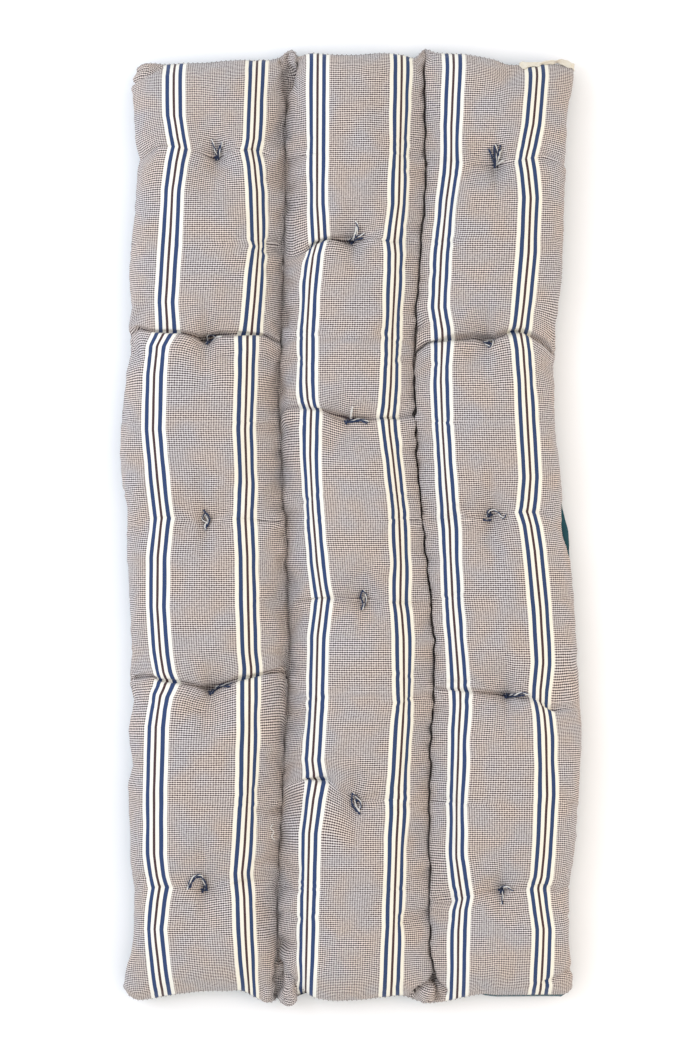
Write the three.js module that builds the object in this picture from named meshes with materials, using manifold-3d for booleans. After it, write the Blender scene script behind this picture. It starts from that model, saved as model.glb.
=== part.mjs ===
import * as THREE from 'three';
import { mergeVertices } from 'three/addons/utils/BufferGeometryUtils.js';
import Module from 'manifold-3d';

const wasm = await Module();
wasm.setup();

// A stuffed floor mattress lying on its underside. Striped cotton covers three long channels, plain
// teal cotton covers the underside, and knotted yarn tufts hold the stuffing in place.
// X runs across the mattress, Y towards its head, Z up from the floor. All sizes are in mm.

// Heights of the filled form
const CROWN_HEIGHTS = [95, 93, 96];
const VALLEY_HEIGHT = 27;
const BULGE_HEIGHT = 48;
const GROOVE_HEIGHT = 14;

// From the middle of the mattress to its end seams, before the ends are drawn in
const HALF_LENGTH = 890;

// How the cover turns over at the sides and ends
const SEAM_TURN = THREE.MathUtils.degToRad(20);
const END_REACH = 105;
const UNDERSIDE_REACH = 45;
const ROW_BLEND = 150;

// Thickness of the underside cloth, the ribbon and the yarn, and the gap kept between two pieces
const CLOTH = 2;
const RIBBON_THICKNESS = 1;
const YARN = 4.2;
const GAP = 0.3;

// The widest outline and the two sewn valleys, one row for each section from foot to head
const SECTIONS = [
  { y: -867, left: -431, valleyA: -136, valleyB: 160, right: 421 },
  { y: -763, left: -413, valleyA: -139, valleyB: 153, right: 413 },
  { y: -649, left: -417, valleyA: -138, valleyB: 153, right: 419 },
  { y: -516, left: -424, valleyA: -129, valleyB: 153, right: 431 },
  { y: -403, left: -419, valleyA: -125, valleyB: 156, right: 436 },
  { y: -270, left: -414, valleyA: -117, valleyB: 162, right: 429 },
  { y: -137, left: -419, valleyA: -119, valleyB: 155, right: 423 },
  { y: -5, left: -426, valleyA: -124, valleyB: 142, right: 408 },
  { y: 128, left: -435, valleyA: -131, valleyB: 129, right: 394 },
  { y: 242, left: -431, valleyA: -136, valleyB: 125, right: 386 },
  { y: 374, left: -415, valleyA: -131, valleyB: 126, right: 390 },
  { y: 492, left: -418, valleyA: -127, valleyB: 134, right: 397 },
  { y: 602, left: -409, valleyA: -124, valleyB: 142, right: 404 },
  { y: 696, left: -405, valleyA: -124, valleyB: 145, right: 408 },
  { y: 791, left: -411, valleyA: -122, valleyB: 145, right: 412 },
  { y: 867, left: -407, valleyA: -118, valleyB: 142, right: 425 },
];

// The head and foot seams. `edge` counts the four lines of a section, with halves on the crowns.
// The cover is drawn in over each crown, and an unfilled ear stands out at each end of a valley.
const END_PLACES = [
  { edge: 0, step: 0, head: 870, foot: -898, seam: 30 },
  { edge: 0.5, step: 0, head: 886, foot: -881, seam: 38 },
  { edge: 1, step: -20, head: 893, foot: -896, seam: 32 },
  { edge: 1, step: 0, head: 905, foot: -910, seam: 20 },
  { edge: 1, step: 20, head: 900, foot: -889, seam: 32 },
  { edge: 1.5, step: 0, head: 897, foot: -895, seam: 38 },
  { edge: 2, step: -20, head: 893, foot: -894, seam: 32 },
  { edge: 2, step: 0, head: 910, foot: -905, seam: 20 },
  { edge: 2, step: 20, head: 902, foot: -900, seam: 32 },
  { edge: 2.5, step: 0, head: 880, foot: -888, seam: 38 },
  { edge: 3, step: 0, head: 880, foot: -884, seam: 30 },
];

// The tufts of each channel. A crease runs from each tuft to both sides of its channel: `toLeft` and
// `toRight` are how far it climbs or falls on the way, `creaseLeft` and `creaseRight` how deep it is.
const TUFTS = [
  { channel: 0, x: -253, y: 700, toLeft: -6, toRight: 4, creaseLeft: 0.05, creaseRight: 0.05 },
  { channel: 0, x: -270, y: 351, toLeft: 16, toRight: 12, creaseLeft: 0.2, creaseRight: 0.2 },
  { channel: 0, x: -274, y: 14, toLeft: 0, toRight: 0, creaseLeft: 0.06, creaseRight: 0.06 },
  { channel: 0, x: -264, y: -312, toLeft: 30, toRight: 38, creaseLeft: 0.18, creaseRight: 0.18 },
  { channel: 0, x: -278, y: -685, toLeft: 4, toRight: 0, creaseLeft: 0.07, creaseRight: 0.06 },
  { channel: 1, x: 3, y: 541, toLeft: -38, toRight: 8, creaseLeft: 0.16, creaseRight: 0.09 },
  { channel: 1, x: -7, y: 200, toLeft: 10, toRight: 14, creaseLeft: 0.14, creaseRight: 0.13 },
  { channel: 1, x: 24, y: -137, toLeft: 4, toRight: -6, creaseLeft: 0.08, creaseRight: 0.09 },
  { channel: 1, x: 12, y: -516, toLeft: 46, toRight: 0, creaseLeft: 0.13, creaseRight: 0.05 },
  { channel: 2, x: 274, y: 685, toLeft: 4, toRight: 6, creaseLeft: 0.06, creaseRight: 0.07 },
  { channel: 2, x: 261, y: 348, toLeft: -2, toRight: -22, creaseLeft: 0.22, creaseRight: 0.22 },
  { channel: 2, x: 264, y: 24, toLeft: 4, toRight: 6, creaseLeft: 0.08, creaseRight: 0.09 },
  { channel: 2, x: 295, y: -319, toLeft: 12, toRight: -26, creaseLeft: 0.15, creaseRight: 0.14 },
  { channel: 2, x: 285, y: -687, toLeft: -14, toRight: 8, creaseLeft: 0.1, creaseRight: 0.1 },
];

// A dimple is a share of the height of its channel, a trough lies across the channel at each tuft
const DIMPLE = { depth: 0.3, across: 34, along: 26 };
const TROUGH = { depth: 0.1, along: 58 };

// A crease grows shallower on its way out, and pulls the outer side in by a share of its depth
const CREASE = { width: 11, fade: 0.35, sidePull: 0.22, leanReach: 90 };

// The yarn ends that lie on the cover, from the knot of their tuft by a bend to the free end
const STRANDS = [
  { tuft: 1, from: [2, -3], bend: [-2, 14], to: [-7, 33] },
  { tuft: 1, from: [2, -3], bend: [6, 12], to: [11, 27] },
  { tuft: 2, from: [-2, -2], bend: [3, 13], to: [15, 8] },
  { tuft: 2, from: [-2, -2], bend: [12, 2], to: [26, 10] },
  { tuft: 3, from: [-2, 18], bend: [7, 3], to: [2, -22] },
  { tuft: 3, from: [0, 6], bend: [-8, -4], to: [-3, -20] },
  { tuft: 4, from: [2, -2], bend: [18, 12], to: [41, 18] },
  { tuft: 4, from: [2, 0], bend: [12, 13], to: [24, 16] },
  { tuft: 5, from: [5, -1], bend: [0, 22], to: [-4, 33] },
  { tuft: 5, from: [-4, 33], bend: [-20, 27], to: [-29, 4] },
  { tuft: 6, from: [-7, 4], bend: [7, 6], to: [22, 13] },
  { tuft: 6, from: [2, 3], bend: [10, 14], to: [13, 29] },
  { tuft: 6, from: [2, 3], bend: [4, 18], to: [5, 37] },
  { tuft: 7, from: [-2, 0], bend: [20, 5], to: [41, -1] },
  { tuft: 7, from: [4, 2], bend: [9, 14], to: [12, 28] },
  { tuft: 8, from: [-2, 15], bend: [7, 0], to: [2, -25] },
  { tuft: 8, from: [0, 3], bend: [-8, -7], to: [-3, -23] },
  { tuft: 9, from: [-6, 16], bend: [-8, -4], to: [6, -24] },
  { tuft: 9, from: [-6, 15], bend: [4, -3], to: [5, -21] },
  { tuft: 10, from: [0, 0], bend: [-6, 16], to: [-14, 29] },
  { tuft: 10, from: [0, 0], bend: [-2, 18], to: [-3, 35] },
  { tuft: 10, from: [0, 0], bend: [5, 14], to: [8, 34] },
  { tuft: 11, from: [-9, 3], bend: [-2, -3], to: [3, -8] },
  { tuft: 11, from: [2, -6], bend: [7, 1], to: [11, 7] },
  { tuft: 12, from: [-2, 2], bend: [8, 12], to: [24, -6] },
  { tuft: 12, from: [0, 0], bend: [-6, -8], to: [-14, -8] },
  { tuft: 12, from: [4, 8], bend: [16, 6], to: [30, -1] },
  { tuft: 13, from: [-2, -1], bend: [20, 6], to: [42, 3] },
  { tuft: 14, from: [-2, 4], bend: [8, 11], to: [21, 2] },
  { tuft: 14, from: [2, 4], bend: [3, -8], to: [1, -23] },
];
const KNOT = { across: 6.5, along: 5.5, height: 4 };

// How far the middle of a strand and of a knot stands above the cover, as a share of its size
const SEAT = { strand: 0.55, knot: 0.7 };

const sectionCurve = new THREE.CubicInterpolant(
  SECTIONS.map((row) => row.y),
  SECTIONS.flatMap((row) => [row.left, row.valleyA, row.valleyB, row.right]),
  4,
);

function edgesAt(y) {
  const inside = THREE.MathUtils.clamp(y, SECTIONS[0].y, SECTIONS.at(-1).y);
  return [...sectionCurve.evaluate(inside)];
}

// A place across a section: whole numbers are its lines, halves lie midway between two of them
function acrossAt(edges, place) {
  const low = Math.floor(place.edge);
  const high = Math.ceil(place.edge);
  return (edges[low] + edges[high]) / 2 + place.step;
}

function linear(points, key, at, value) {
  const last = points.length - 1;
  const found = points.findIndex((point) => point[key] >= at);
  const high = found < 0 ? last : Math.max(found, 1);
  const low = high - 1;
  const share = (at - points[low][key]) / (points[high][key] - points[low][key]);
  return THREE.MathUtils.lerp(points[low][value], points[high][value], THREE.MathUtils.clamp(share, 0, 1));
}

const quarterRound = (share) => Math.sqrt(1 - (1 - THREE.MathUtils.clamp(share, 0, 1)) ** 2);
const bell = (distance, width) => Math.exp(-(distance * distance) / (2 * width * width));

const endLine = { head: [], foot: [] };
for (const end of ['head', 'foot']) {
  const edges = edgesAt(end === 'head' ? SECTIONS.at(-1).y : SECTIONS[0].y);
  for (const place of END_PLACES) {
    endLine[end].push({ x: acrossAt(edges, place), y: place[end], z: place.seam });
  }
}

// Rows lie close together by the end seams and by each line of tufts. Only those with `under` set
// also cross the underside.
const END_ROWS = [
  { reach: 0, under: true },
  { reach: 4, under: true },
  { reach: 15, under: true },
  { reach: 40, under: true },
  { reach: 72, under: false },
  { reach: 110, under: true },
];
const TUFT_ROWS = [
  { offset: -34, under: true },
  { offset: -13, under: false },
  { offset: 0, under: false },
  { offset: 13, under: false },
  { offset: 34, under: true },
];
const TUFT_LINES = [695, 541, 349, 200, 19, -137, -315, -516, -686];
const BETWEEN_LINES = 17;

// A row knows its distance, or reach, to the nearer end seam: the first rows follow that seam and
// the later ones run straight across
function makeRows() {
  const rows = [];
  const addRow = (y, under) => {
    rows.push({ y, under, end: y > 0 ? 'head' : 'foot', reach: HALF_LENGTH - Math.abs(y) });
  };
  for (const { reach, under } of END_ROWS) {
    addRow(HALF_LENGTH - reach, under);
    addRow(reach - HALF_LENGTH, under);
  }
  for (const [index, line] of TUFT_LINES.entries()) {
    TUFT_ROWS.forEach(({ offset, under }) => addRow(line + offset, under));
    if (index === 0) continue;
    const middle = (line + TUFT_LINES[index - 1]) / 2;
    addRow(middle + BETWEEN_LINES, false);
    addRow(middle - BETWEEN_LINES, true);
  }
  return rows.sort((a, b) => a.y - b.y);
}

const rows = makeRows();

// Where a row passes at x
function rowAt(row, x) {
  const seamY = linear(endLine[row.end], 'x', x, 'y');
  const inwards = row.end === 'head' ? -1 : 1;
  const straight = THREE.MathUtils.smoothstep(row.reach, 0, ROW_BLEND);
  return THREE.MathUtils.lerp(seamY + inwards * row.reach, row.y, straight);
}

// The creases of a channel at x: how far each has climbed there and how deep it is
function creasesAt(channel, x, edges) {
  return TUFTS.filter((tuft) => tuft.channel === channel).map((tuft) => {
    const isLeft = x < tuft.x;
    const reach = isLeft ? tuft.x - edges[channel] : edges[channel + 1] - tuft.x;
    const along = THREE.MathUtils.clamp(Math.abs(x - tuft.x) / reach, 0, 1);
    const depth = (isLeft ? tuft.creaseLeft : tuft.creaseRight) * (1 - CREASE.fade * along);
    return { tuft, depth, climb: along * (isLeft ? tuft.toLeft : tuft.toRight) };
  });
}

// The share of its height that the cover loses at a point to the tufts of its channel
function pressAt(channel, x, y) {
  let press = 0;
  for (const { tuft, depth, climb } of creasesAt(channel, x, edgesAt(y))) {
    press += DIMPLE.depth * bell(x - tuft.x, DIMPLE.across) * bell(y - tuft.y, DIMPLE.along);
    press += TROUGH.depth * bell(y - tuft.y, TROUGH.along);
    press += depth * bell(y - tuft.y - climb, CREASE.width);
  }
  return press;
}

// How far a row near a tuft leans, so that it runs along the crease
function leanAt(channel, x, y) {
  let lean = 0;
  for (const { tuft, climb } of creasesAt(channel, x, edgesAt(y))) {
    lean += climb * THREE.MathUtils.clamp(1 - Math.abs(y - tuft.y) / CREASE.leanReach, 0, 1);
  }
  return lean;
}

// Rows stop leaning close to the sides of a channel
const FLANK_POWER = 8;

// One point of the striped cover. `turn` runs from one side of the channel over its crown to the other.
function coverPoint(row, channel, share) {
  const rise = quarterRound(row.reach / END_REACH);
  const outer = (channel === 0 && share < 0) || (channel === 2 && share > 0);
  const turn = share * (Math.PI / 2 + (outer ? SEAM_TURN * rise : 0));
  const height = Math.cos(share * (Math.PI / 2 + (outer ? SEAM_TURN : 0)));
  const roughEdges = edgesAt(row.y);
  const roughX = THREE.MathUtils.lerp(roughEdges[channel], roughEdges[channel + 1], (Math.sin(turn) + 1) / 2);
  const flank = 1 - Math.abs(share) ** FLANK_POWER;
  const y = rowAt(row, roughX) + leanAt(channel, roughX, row.y) * flank;
  const edges = edgesAt(y);
  const middle = (edges[channel] + edges[channel + 1]) / 2;
  const half = (edges[channel + 1] - edges[channel]) / 2;
  const press = pressAt(channel, middle + half * Math.sin(turn), y);
  const drawnIn = outer ? 1 - press * CREASE.sidePull * rise : 1;
  const x = middle + half * Math.sin(turn) * drawnIn;
  const base = outer ? BULGE_HEIGHT : VALLEY_HEIGHT;
  const flatter = height > 0 ? 1 - press : 1;
  const full = base + (CROWN_HEIGHTS[channel] - base) * height * flatter;
  const seam = linear(endLine[row.end], 'x', x, 'z');
  return new THREE.Vector3(x, y, THREE.MathUtils.lerp(seam, full, rise));
}

const STEPS_PER_CHANNEL = 12;

function coverRow(row) {
  const points = [];
  for (let channel = 0; channel < 3; channel++) {
    for (let step = channel === 0 ? 0 : 1; step <= STEPS_PER_CHANNEL; step++) {
      points.push(coverPoint(row, channel, (2 * step) / STEPS_PER_CHANNEL - 1));
    }
  }
  return points;
}

// The underside, from the seam on one side over the flats that rest on the floor to the other seam.
// `rise` is a share of the seam height, and a groove lies under each valley.
const UNDERSIDE_PLACES = [
  { edge: 0, step: 0, rise: 1 },
  { edge: 0, step: 13, rise: 0.45 },
  { edge: 0, step: 24, rise: 0.12 },
  { edge: 0, step: 44, rise: 0 },
  { edge: 0.5, step: 0, rise: 0 },
  { edge: 1, step: -20, rise: 0 },
  { edge: 1, step: 0, groove: true },
  { edge: 1, step: 20, rise: 0 },
  { edge: 1.5, step: 0, rise: 0 },
  { edge: 2, step: -20, rise: 0 },
  { edge: 2, step: 0, groove: true },
  { edge: 2, step: 20, rise: 0 },
  { edge: 2.5, step: 0, rise: 0 },
  { edge: 3, step: -44, rise: 0 },
  { edge: 3, step: -24, rise: 0.12 },
  { edge: 3, step: -13, rise: 0.45 },
  { edge: 3, step: 0, rise: 1 },
];

// Where the teal cloth rolls out past the cover on the right side
const ROLL = { y: 12, along: 32, out: 14 };

function undersideRow(row, cover) {
  const sideSeams = [cover[0], cover.at(-1)];
  const last = UNDERSIDE_PLACES.length - 1;
  return UNDERSIDE_PLACES.map((place, index) => {
    if (index === 0) return sideSeams[0].clone();
    if (index === last) return sideSeams[1].clone();
    const roll = index === last - 1 ? ROLL.out * bell(row.y - ROLL.y, ROLL.along) : 0;
    const x = acrossAt(edgesAt(row.y), place) + roll;
    const seam = linear(endLine[row.end], 'x', x, 'z');
    const side = place.rise * sideSeams[place.edge < 1.5 ? 0 : 1].z;
    const full = place.groove ? GROOVE_HEIGHT : side;
    const drop = quarterRound(row.reach / UNDERSIDE_REACH);
    return new THREE.Vector3(x, rowAt(row, x), THREE.MathUtils.lerp(seam, full, drop));
  });
}

const coverGrid = rows.map(coverRow);
const underRows = rows.filter((row) => row.under);
const undersideGrid = underRows.map((row) => undersideRow(row, coverGrid[rows.indexOf(row)]));

// The rim of the fine cover lies on the coarser rim of the underside, so that the two meet evenly.
// At the ends the closest point of the cover first moves onto each kink of the seam.
function followRim(cover, rim, key, others) {
  for (const point of cover) {
    for (const other of others) point[other] = linear(rim, key, point[key], other);
  }
}

const columnOf = (grid, column) => grid.map((line) => line.at(column));

for (const side of [0, -1]) {
  followRim(columnOf(coverGrid, side), columnOf(undersideGrid, side), 'y', ['x', 'z']);
}
for (const [end, kinks] of [[0, endLine.foot], [-1, endLine.head]]) {
  for (const kink of kinks) {
    const away = (point) => Math.abs(point.x - kink.x);
    coverGrid.at(end).reduce((best, point) => (away(point) < away(best) ? point : best)).x = kink.x;
  }
  followRim(coverGrid.at(end), undersideGrid.at(end), 'x', ['y', 'z']);
}

// Directions into the filling at each point of the underside, level along its rim
function inwardNormals(grid) {
  const lastRow = grid.length - 1;
  const lastColumn = grid[0].length - 1;
  return grid.map((line, row) => line.map((_, column) => {
    const along = new THREE.Vector3().subVectors(
      grid[Math.min(row + 1, lastRow)][column], grid[Math.max(row - 1, 0)][column]);
    const across = new THREE.Vector3().subVectors(
      grid[row][Math.min(column + 1, lastColumn)], grid[row][Math.max(column - 1, 0)]);
    const normal = new THREE.Vector3().crossVectors(across, along);
    const isSide = column === 0 || column === lastColumn;
    const isEnd = row === 0 || row === lastRow;
    if (isSide || isEnd) {
      normal.set(0, 0, 0);
      if (isSide) normal.x = column === 0 ? 1 : -1;
      if (isEnd) normal.y = row === 0 ? 1 : -1;
    }
    return normal.normalize();
  }));
}

const normals = inwardNormals(undersideGrid);
const offsetGrid = (distance) => undersideGrid.map((line, row) => line.map(
  (point, column) => point.clone().addScaledVector(normals[row][column], distance)));

// Triangles of a closed skin, gathered face by face
class Skin {
  corners = [];

  face(a, b, c) {
    this.corners.push(a, b, c);
  }

  // The diagonals of a grid run from its four corners towards its middle
  grid(points, upwards) {
    const cells = [points.length - 1, points[0].length - 1];
    for (let row = 0; row < cells[0]; row++) {
      for (let column = 0; column < cells[1]; column++) {
        const around = [
          points[row][column], points[row][column + 1],
          points[row + 1][column + 1], points[row + 1][column],
        ];
        const falls = (row < cells[0] / 2) !== (column < cells[1] / 2);
        if (falls) around.push(around.shift());
        if (!upwards) [around[1], around[3]] = [around[3], around[1]];
        this.face(around[0], around[1], around[2]);
        this.face(around[0], around[2], around[3]);
      }
    }
  }

  // A strip between two lines that run the same way, `near` above `far` seen from outside
  strip(near, far) {
    const direction = new THREE.Vector3().subVectors(far.at(-1), far[0]);
    const reach = (line, index) => (index < line.length ? line[index].dot(direction) : Infinity);
    let i = 0;
    let j = 0;
    while (i + 1 < near.length || j + 1 < far.length) {
      if (reach(near, i + 1) <= reach(far, j + 1)) {
        this.face(near[i], far[j], near[i + 1]);
        i++;
      } else {
        this.face(near[i], far[j], far[j + 1]);
        j++;
      }
    }
  }

  rim(upper, lower) {
    const reversed = (line) => [...line].reverse();
    this.strip(upper[0], lower[0]);
    this.strip(columnOf(upper, -1), columnOf(lower, -1));
    this.strip(reversed(upper.at(-1)), reversed(lower.at(-1)));
    this.strip(reversed(columnOf(upper, 0)), reversed(columnOf(lower, 0)));
  }

  geometry() {
    const geometry = new THREE.BufferGeometry().setFromPoints(this.corners);
    return mergeVertices(geometry, 1e-4);
  }
}

function toManifold(geometry) {
  const bare = new THREE.BufferGeometry();
  bare.setAttribute('position', geometry.getAttribute('position'));
  bare.setIndex(geometry.getIndex());
  const merged = mergeVertices(bare, 1e-4);
  const vertProperties = new Float32Array(merged.getAttribute('position').array);
  const triVerts = new Uint32Array(merged.getIndex().array);
  return new wasm.Manifold(new wasm.Mesh({ numProp: 3, vertProperties, triVerts }));
}

function toGeometry(manifold) {
  const mesh = manifold.getMesh();
  const geometry = new THREE.BufferGeometry();
  geometry.setAttribute('position', new THREE.BufferAttribute(mesh.vertProperties, 3));
  geometry.setIndex(new THREE.BufferAttribute(mesh.triVerts, 1));
  return geometry;
}

const mattress = new THREE.Group();

function addMesh(name, geometry, look) {
  const mesh = new THREE.Mesh(geometry, new THREE.MeshStandardMaterial({ metalness: 0, ...look }));
  mesh.name = name;
  mattress.add(mesh);
  return mesh;
}

// The filled body: the striped cover above, and below it the stuffing that the underside cloth wraps
function makeBody() {
  const lifted = coverGrid.map((line) => line.map((point) => point.clone()));
  const filling = offsetGrid(CLOTH + GAP);
  const raise = (point) => point.setZ(point.z + GAP);
  for (const grid of [lifted, filling]) {
    const rim = new Set([...grid[0], ...grid.at(-1), ...columnOf(grid, 0), ...columnOf(grid, -1)]);
    rim.forEach(raise);
  }
  const skin = new Skin();
  skin.grid(lifted, true);
  skin.grid(filling, false);
  skin.rim(lifted, filling);
  return skin.geometry();
}

// The underside cloth: a thin shallow tray that carries the filling and ends at the edge seam
function makeUnderside() {
  const inner = offsetGrid(CLOTH);
  const skin = new Skin();
  skin.grid(inner, true);
  skin.grid(undersideGrid, false);
  skin.rim(inner, undersideGrid);
  return skin.geometry();
}

const body = addMesh('mattress_body', makeBody(), { color: '#b8aeaa', roughness: 0.9 });
addMesh('underside_panel', makeUnderside(), { color: '#1f4a50', roughness: 0.85 });
body.updateMatrixWorld();

const down = new THREE.Vector3(0, 0, -1);
const ray = new THREE.Raycaster();

function surfaceAt(x, y) {
  ray.set(new THREE.Vector3(x, y, 2 * CROWN_HEIGHTS[0]), down);
  return ray.intersectObject(body)[0].point.z;
}

// Yarn: a strand of four sides that lies on the cover
function makeStrand(tuft, strand) {
  const pull = new THREE.Vector2(...strand.bend).multiplyScalar(2)
    .sub(new THREE.Vector2(...strand.from).add(new THREE.Vector2(...strand.to)).divideScalar(2));
  const route = new THREE.QuadraticBezierCurve(
    new THREE.Vector2(...strand.from),
    pull,
    new THREE.Vector2(...strand.to),
  );
  const steps = 5;
  const points = route.getPoints(steps).map((point) => {
    const x = tuft.x + point.x;
    const y = tuft.y + point.y;
    return new THREE.Vector3(x, y, surfaceAt(x, y) + YARN * SEAT.strand);
  });
  const half = YARN / 2;
  const section = new THREE.Shape([
    new THREE.Vector2(half, 0),
    new THREE.Vector2(0, half),
    new THREE.Vector2(-half, 0),
    new THREE.Vector2(0, -half),
  ]);
  const extrudePath = new THREE.CatmullRomCurve3(points);
  return new THREE.ExtrudeGeometry(section, { steps, extrudePath, bevelEnabled: false });
}

function makeTuft(tuft, number) {
  const knot = new THREE.SphereGeometry(1, 8, 5);
  knot.scale(KNOT.across, KNOT.along, KNOT.height);
  knot.translate(tuft.x, tuft.y, surfaceAt(tuft.x, tuft.y) + KNOT.height * SEAT.knot);
  let yarn = toManifold(knot);
  for (const strand of STRANDS.filter((row) => row.tuft === number)) {
    yarn = yarn.add(toManifold(makeStrand(tuft, strand)));
  }
  return yarn;
}

// The cover, raised by the gap between pieces, trims what lies on it
const raisedCover = toManifold(body.geometry).translate([0, 0, GAP]);
for (const [index, tuft] of TUFTS.entries()) {
  const number = index + 1;
  const yarn = makeTuft(tuft, number).subtract(raisedCover);
  const name = `tuft_${String(number).padStart(2, '0')}`;
  addMesh(name, toGeometry(yarn), { color: '#3f4763', roughness: 0.95 });
}

// The blank ribbon, sewn by one edge into the head seam at the right corner. Its other edge stands
// `reach` beyond the seam and `lift` above it, and its end hangs loose.
const RIBBON_STATIONS = [
  { x: 322, reach: 8, lift: 4 },
  { x: 335, reach: 7, lift: 2 },
  { x: 355, reach: 7, lift: 3 },
  { x: 375, reach: 8, lift: 5 },
  { x: 390, reach: 9, lift: 6 },
  { x: 402, reach: 9, lift: 3 },
  { x: 411, reach: 12, lift: -1 },
  { x: 420, reach: 14, lift: -6 },
];

function makeRibbon() {
  const sewn = [];
  const free = [];
  for (const station of RIBBON_STATIONS) {
    const seamY = linear(endLine.head, 'x', station.x, 'y');
    const seamZ = linear(endLine.head, 'x', station.x, 'z');
    sewn.push(new THREE.Vector3(station.x, seamY + GAP, seamZ + GAP));
    free.push(new THREE.Vector3(station.x, seamY + station.reach, seamZ + GAP + station.lift));
  }
  const lower = [sewn, free];
  const upper = lower.map((line) => line.map((point) => point.clone().setZ(point.z + RIBBON_THICKNESS)));
  const skin = new Skin();
  skin.grid(upper, true);
  skin.grid(lower, false);
  skin.rim(upper, lower);
  return skin.geometry();
}

addMesh('label_ribbon', makeRibbon(), { color: '#ece5d3', roughness: 0.8 });

export default mattress;
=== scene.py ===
import math

import bpy
import numpy as np
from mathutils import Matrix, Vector
from mathutils.bvhtree import BVHTree


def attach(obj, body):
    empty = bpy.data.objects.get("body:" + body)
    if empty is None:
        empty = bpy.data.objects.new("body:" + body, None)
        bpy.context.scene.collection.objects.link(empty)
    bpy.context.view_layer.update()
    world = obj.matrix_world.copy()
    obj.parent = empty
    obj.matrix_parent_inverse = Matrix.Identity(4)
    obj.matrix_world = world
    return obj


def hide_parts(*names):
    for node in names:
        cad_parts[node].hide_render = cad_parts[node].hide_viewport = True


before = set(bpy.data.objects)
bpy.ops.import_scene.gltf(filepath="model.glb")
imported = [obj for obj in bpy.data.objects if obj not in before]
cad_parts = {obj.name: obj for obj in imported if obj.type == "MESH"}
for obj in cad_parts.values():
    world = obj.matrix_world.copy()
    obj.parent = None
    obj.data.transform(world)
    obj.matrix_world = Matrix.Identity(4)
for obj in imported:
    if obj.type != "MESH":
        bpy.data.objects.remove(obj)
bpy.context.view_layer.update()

# The striped cover and its filling. Cotton ticking is sewn down along two lines, stuffed into three
# long channels and tied down by fourteen tufts, which press a dimple and a fold across the channel.
# Lengths are in mm: X runs across the mattress, Y towards its head and Z up from the floor.
MM = 0.001
HALF_LENGTH = 890
CROWN_HEIGHTS = (91, 89, 92)
BULGE_HEIGHT = 48
VALLEY_HEIGHT = 21
SIDE_TURN = math.radians(20)
END_REACH = 105
ROW_BLEND = 150

OUTLINE = np.array([
    # y, left side, first valley, second valley, right side
    (-867, -431, -136, 160, 421),
    (-763, -413, -139, 153, 413),
    (-649, -417, -138, 153, 419),
    (-516, -424, -129, 153, 431),
    (-403, -419, -125, 156, 436),
    (-270, -414, -117, 162, 429),
    (-137, -419, -119, 155, 423),
    (-5, -426, -124, 142, 408),
    (128, -435, -131, 129, 394),
    (242, -431, -136, 125, 386),
    (374, -415, -131, 126, 390),
    (492, -418, -127, 134, 397),
    (602, -409, -124, 142, 404),
    (696, -405, -124, 145, 408),
    (791, -411, -122, 145, 412),
    (867, -407, -118, 142, 425),
], float)

# The sides as they stand after stuffing, seen from above
SIDES = np.array([
    # y, left side, right side
    (-890, -429, 423), (-873, -431, 422), (-835, -424, 418), (-797, -414, 414), (-721, -410, 414),
    (-683, -410, 414), (-645, -416, 420), (-569, -418, 429), (-532, -420, 431), (-478, -420, 435),
    (-450, -412, 435), (-418, -418, 437), (-380, -420, 437), (-342, -412, 435), (-327, -410, 434),
    (-304, -416, 433), (-228, -414, 429), (-190, -416, 427), (-115, -420, 422), (-77, -422, 418),
    (-39, -424, 411), (-20, -424, 404), (12, -423, 400), (45, -424, 401), (75, -431, 401),
    (113, -435, 397), (189, -435, 388), (264, -427, 386), (302, -422, 384), (321, -418, 386),
    (346, -416, 388), (378, -420, 388), (416, -414, 393), (454, -418, 399), (530, -416, 403),
    (605, -408, 405), (643, -405, 406), (681, -403, 408), (696, -399, 406), (719, -405, 408),
    (795, -410, 412), (833, -414, 420), (871, -406, 425), (890, -405, 426),
], float)

# The edge of the head and of the foot, and how high the end seam stands at each line of the channels
ENDS = np.array([
    # x, head, foot
    (-408, 876, -899), (-389, 882, -897), (-352, 880, -890), (-314, 882, -884), (-276, 882, -880),
    (-238, 886, -880), (-200, 888, -882), (-181, 887, -893), (-168, 889, -899), (-156, 888, -903),
    (-146, 890, -901), (-139, 892, -896), (-132, 896, -905), (-124, 904, -909), (-113, 909, -907),
    (-105, 904, -898), (-99, 893, -886), (-95, 892, -878), (-86, 899, -882), (-77, 901, -889),
    (-48, 899, -897), (9, 897, -897),
    (65, 901, -892), (103, 897, -890), (122, 893, -897), (141, 911, -903), (160, 903, -905),
    (179, 901, -901), (217, 899, -892), (255, 892, -886), (274, 888, -888), (293, 880, -888),
    (331, 879, -888), (369, 881, -888), (406, 880, -888),
], float)
SEAM_HEIGHTS = np.array([
    # line, step, height
    (0, 0, 30), (0.5, 0, 38), (1, -20, 32), (1, 0, 20), (1, 20, 32), (1.5, 0, 38),
    (2, -20, 32), (2, 0, 20), (2, 20, 32), (2.5, 0, 38), (3, 0, 30),
], float)

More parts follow.
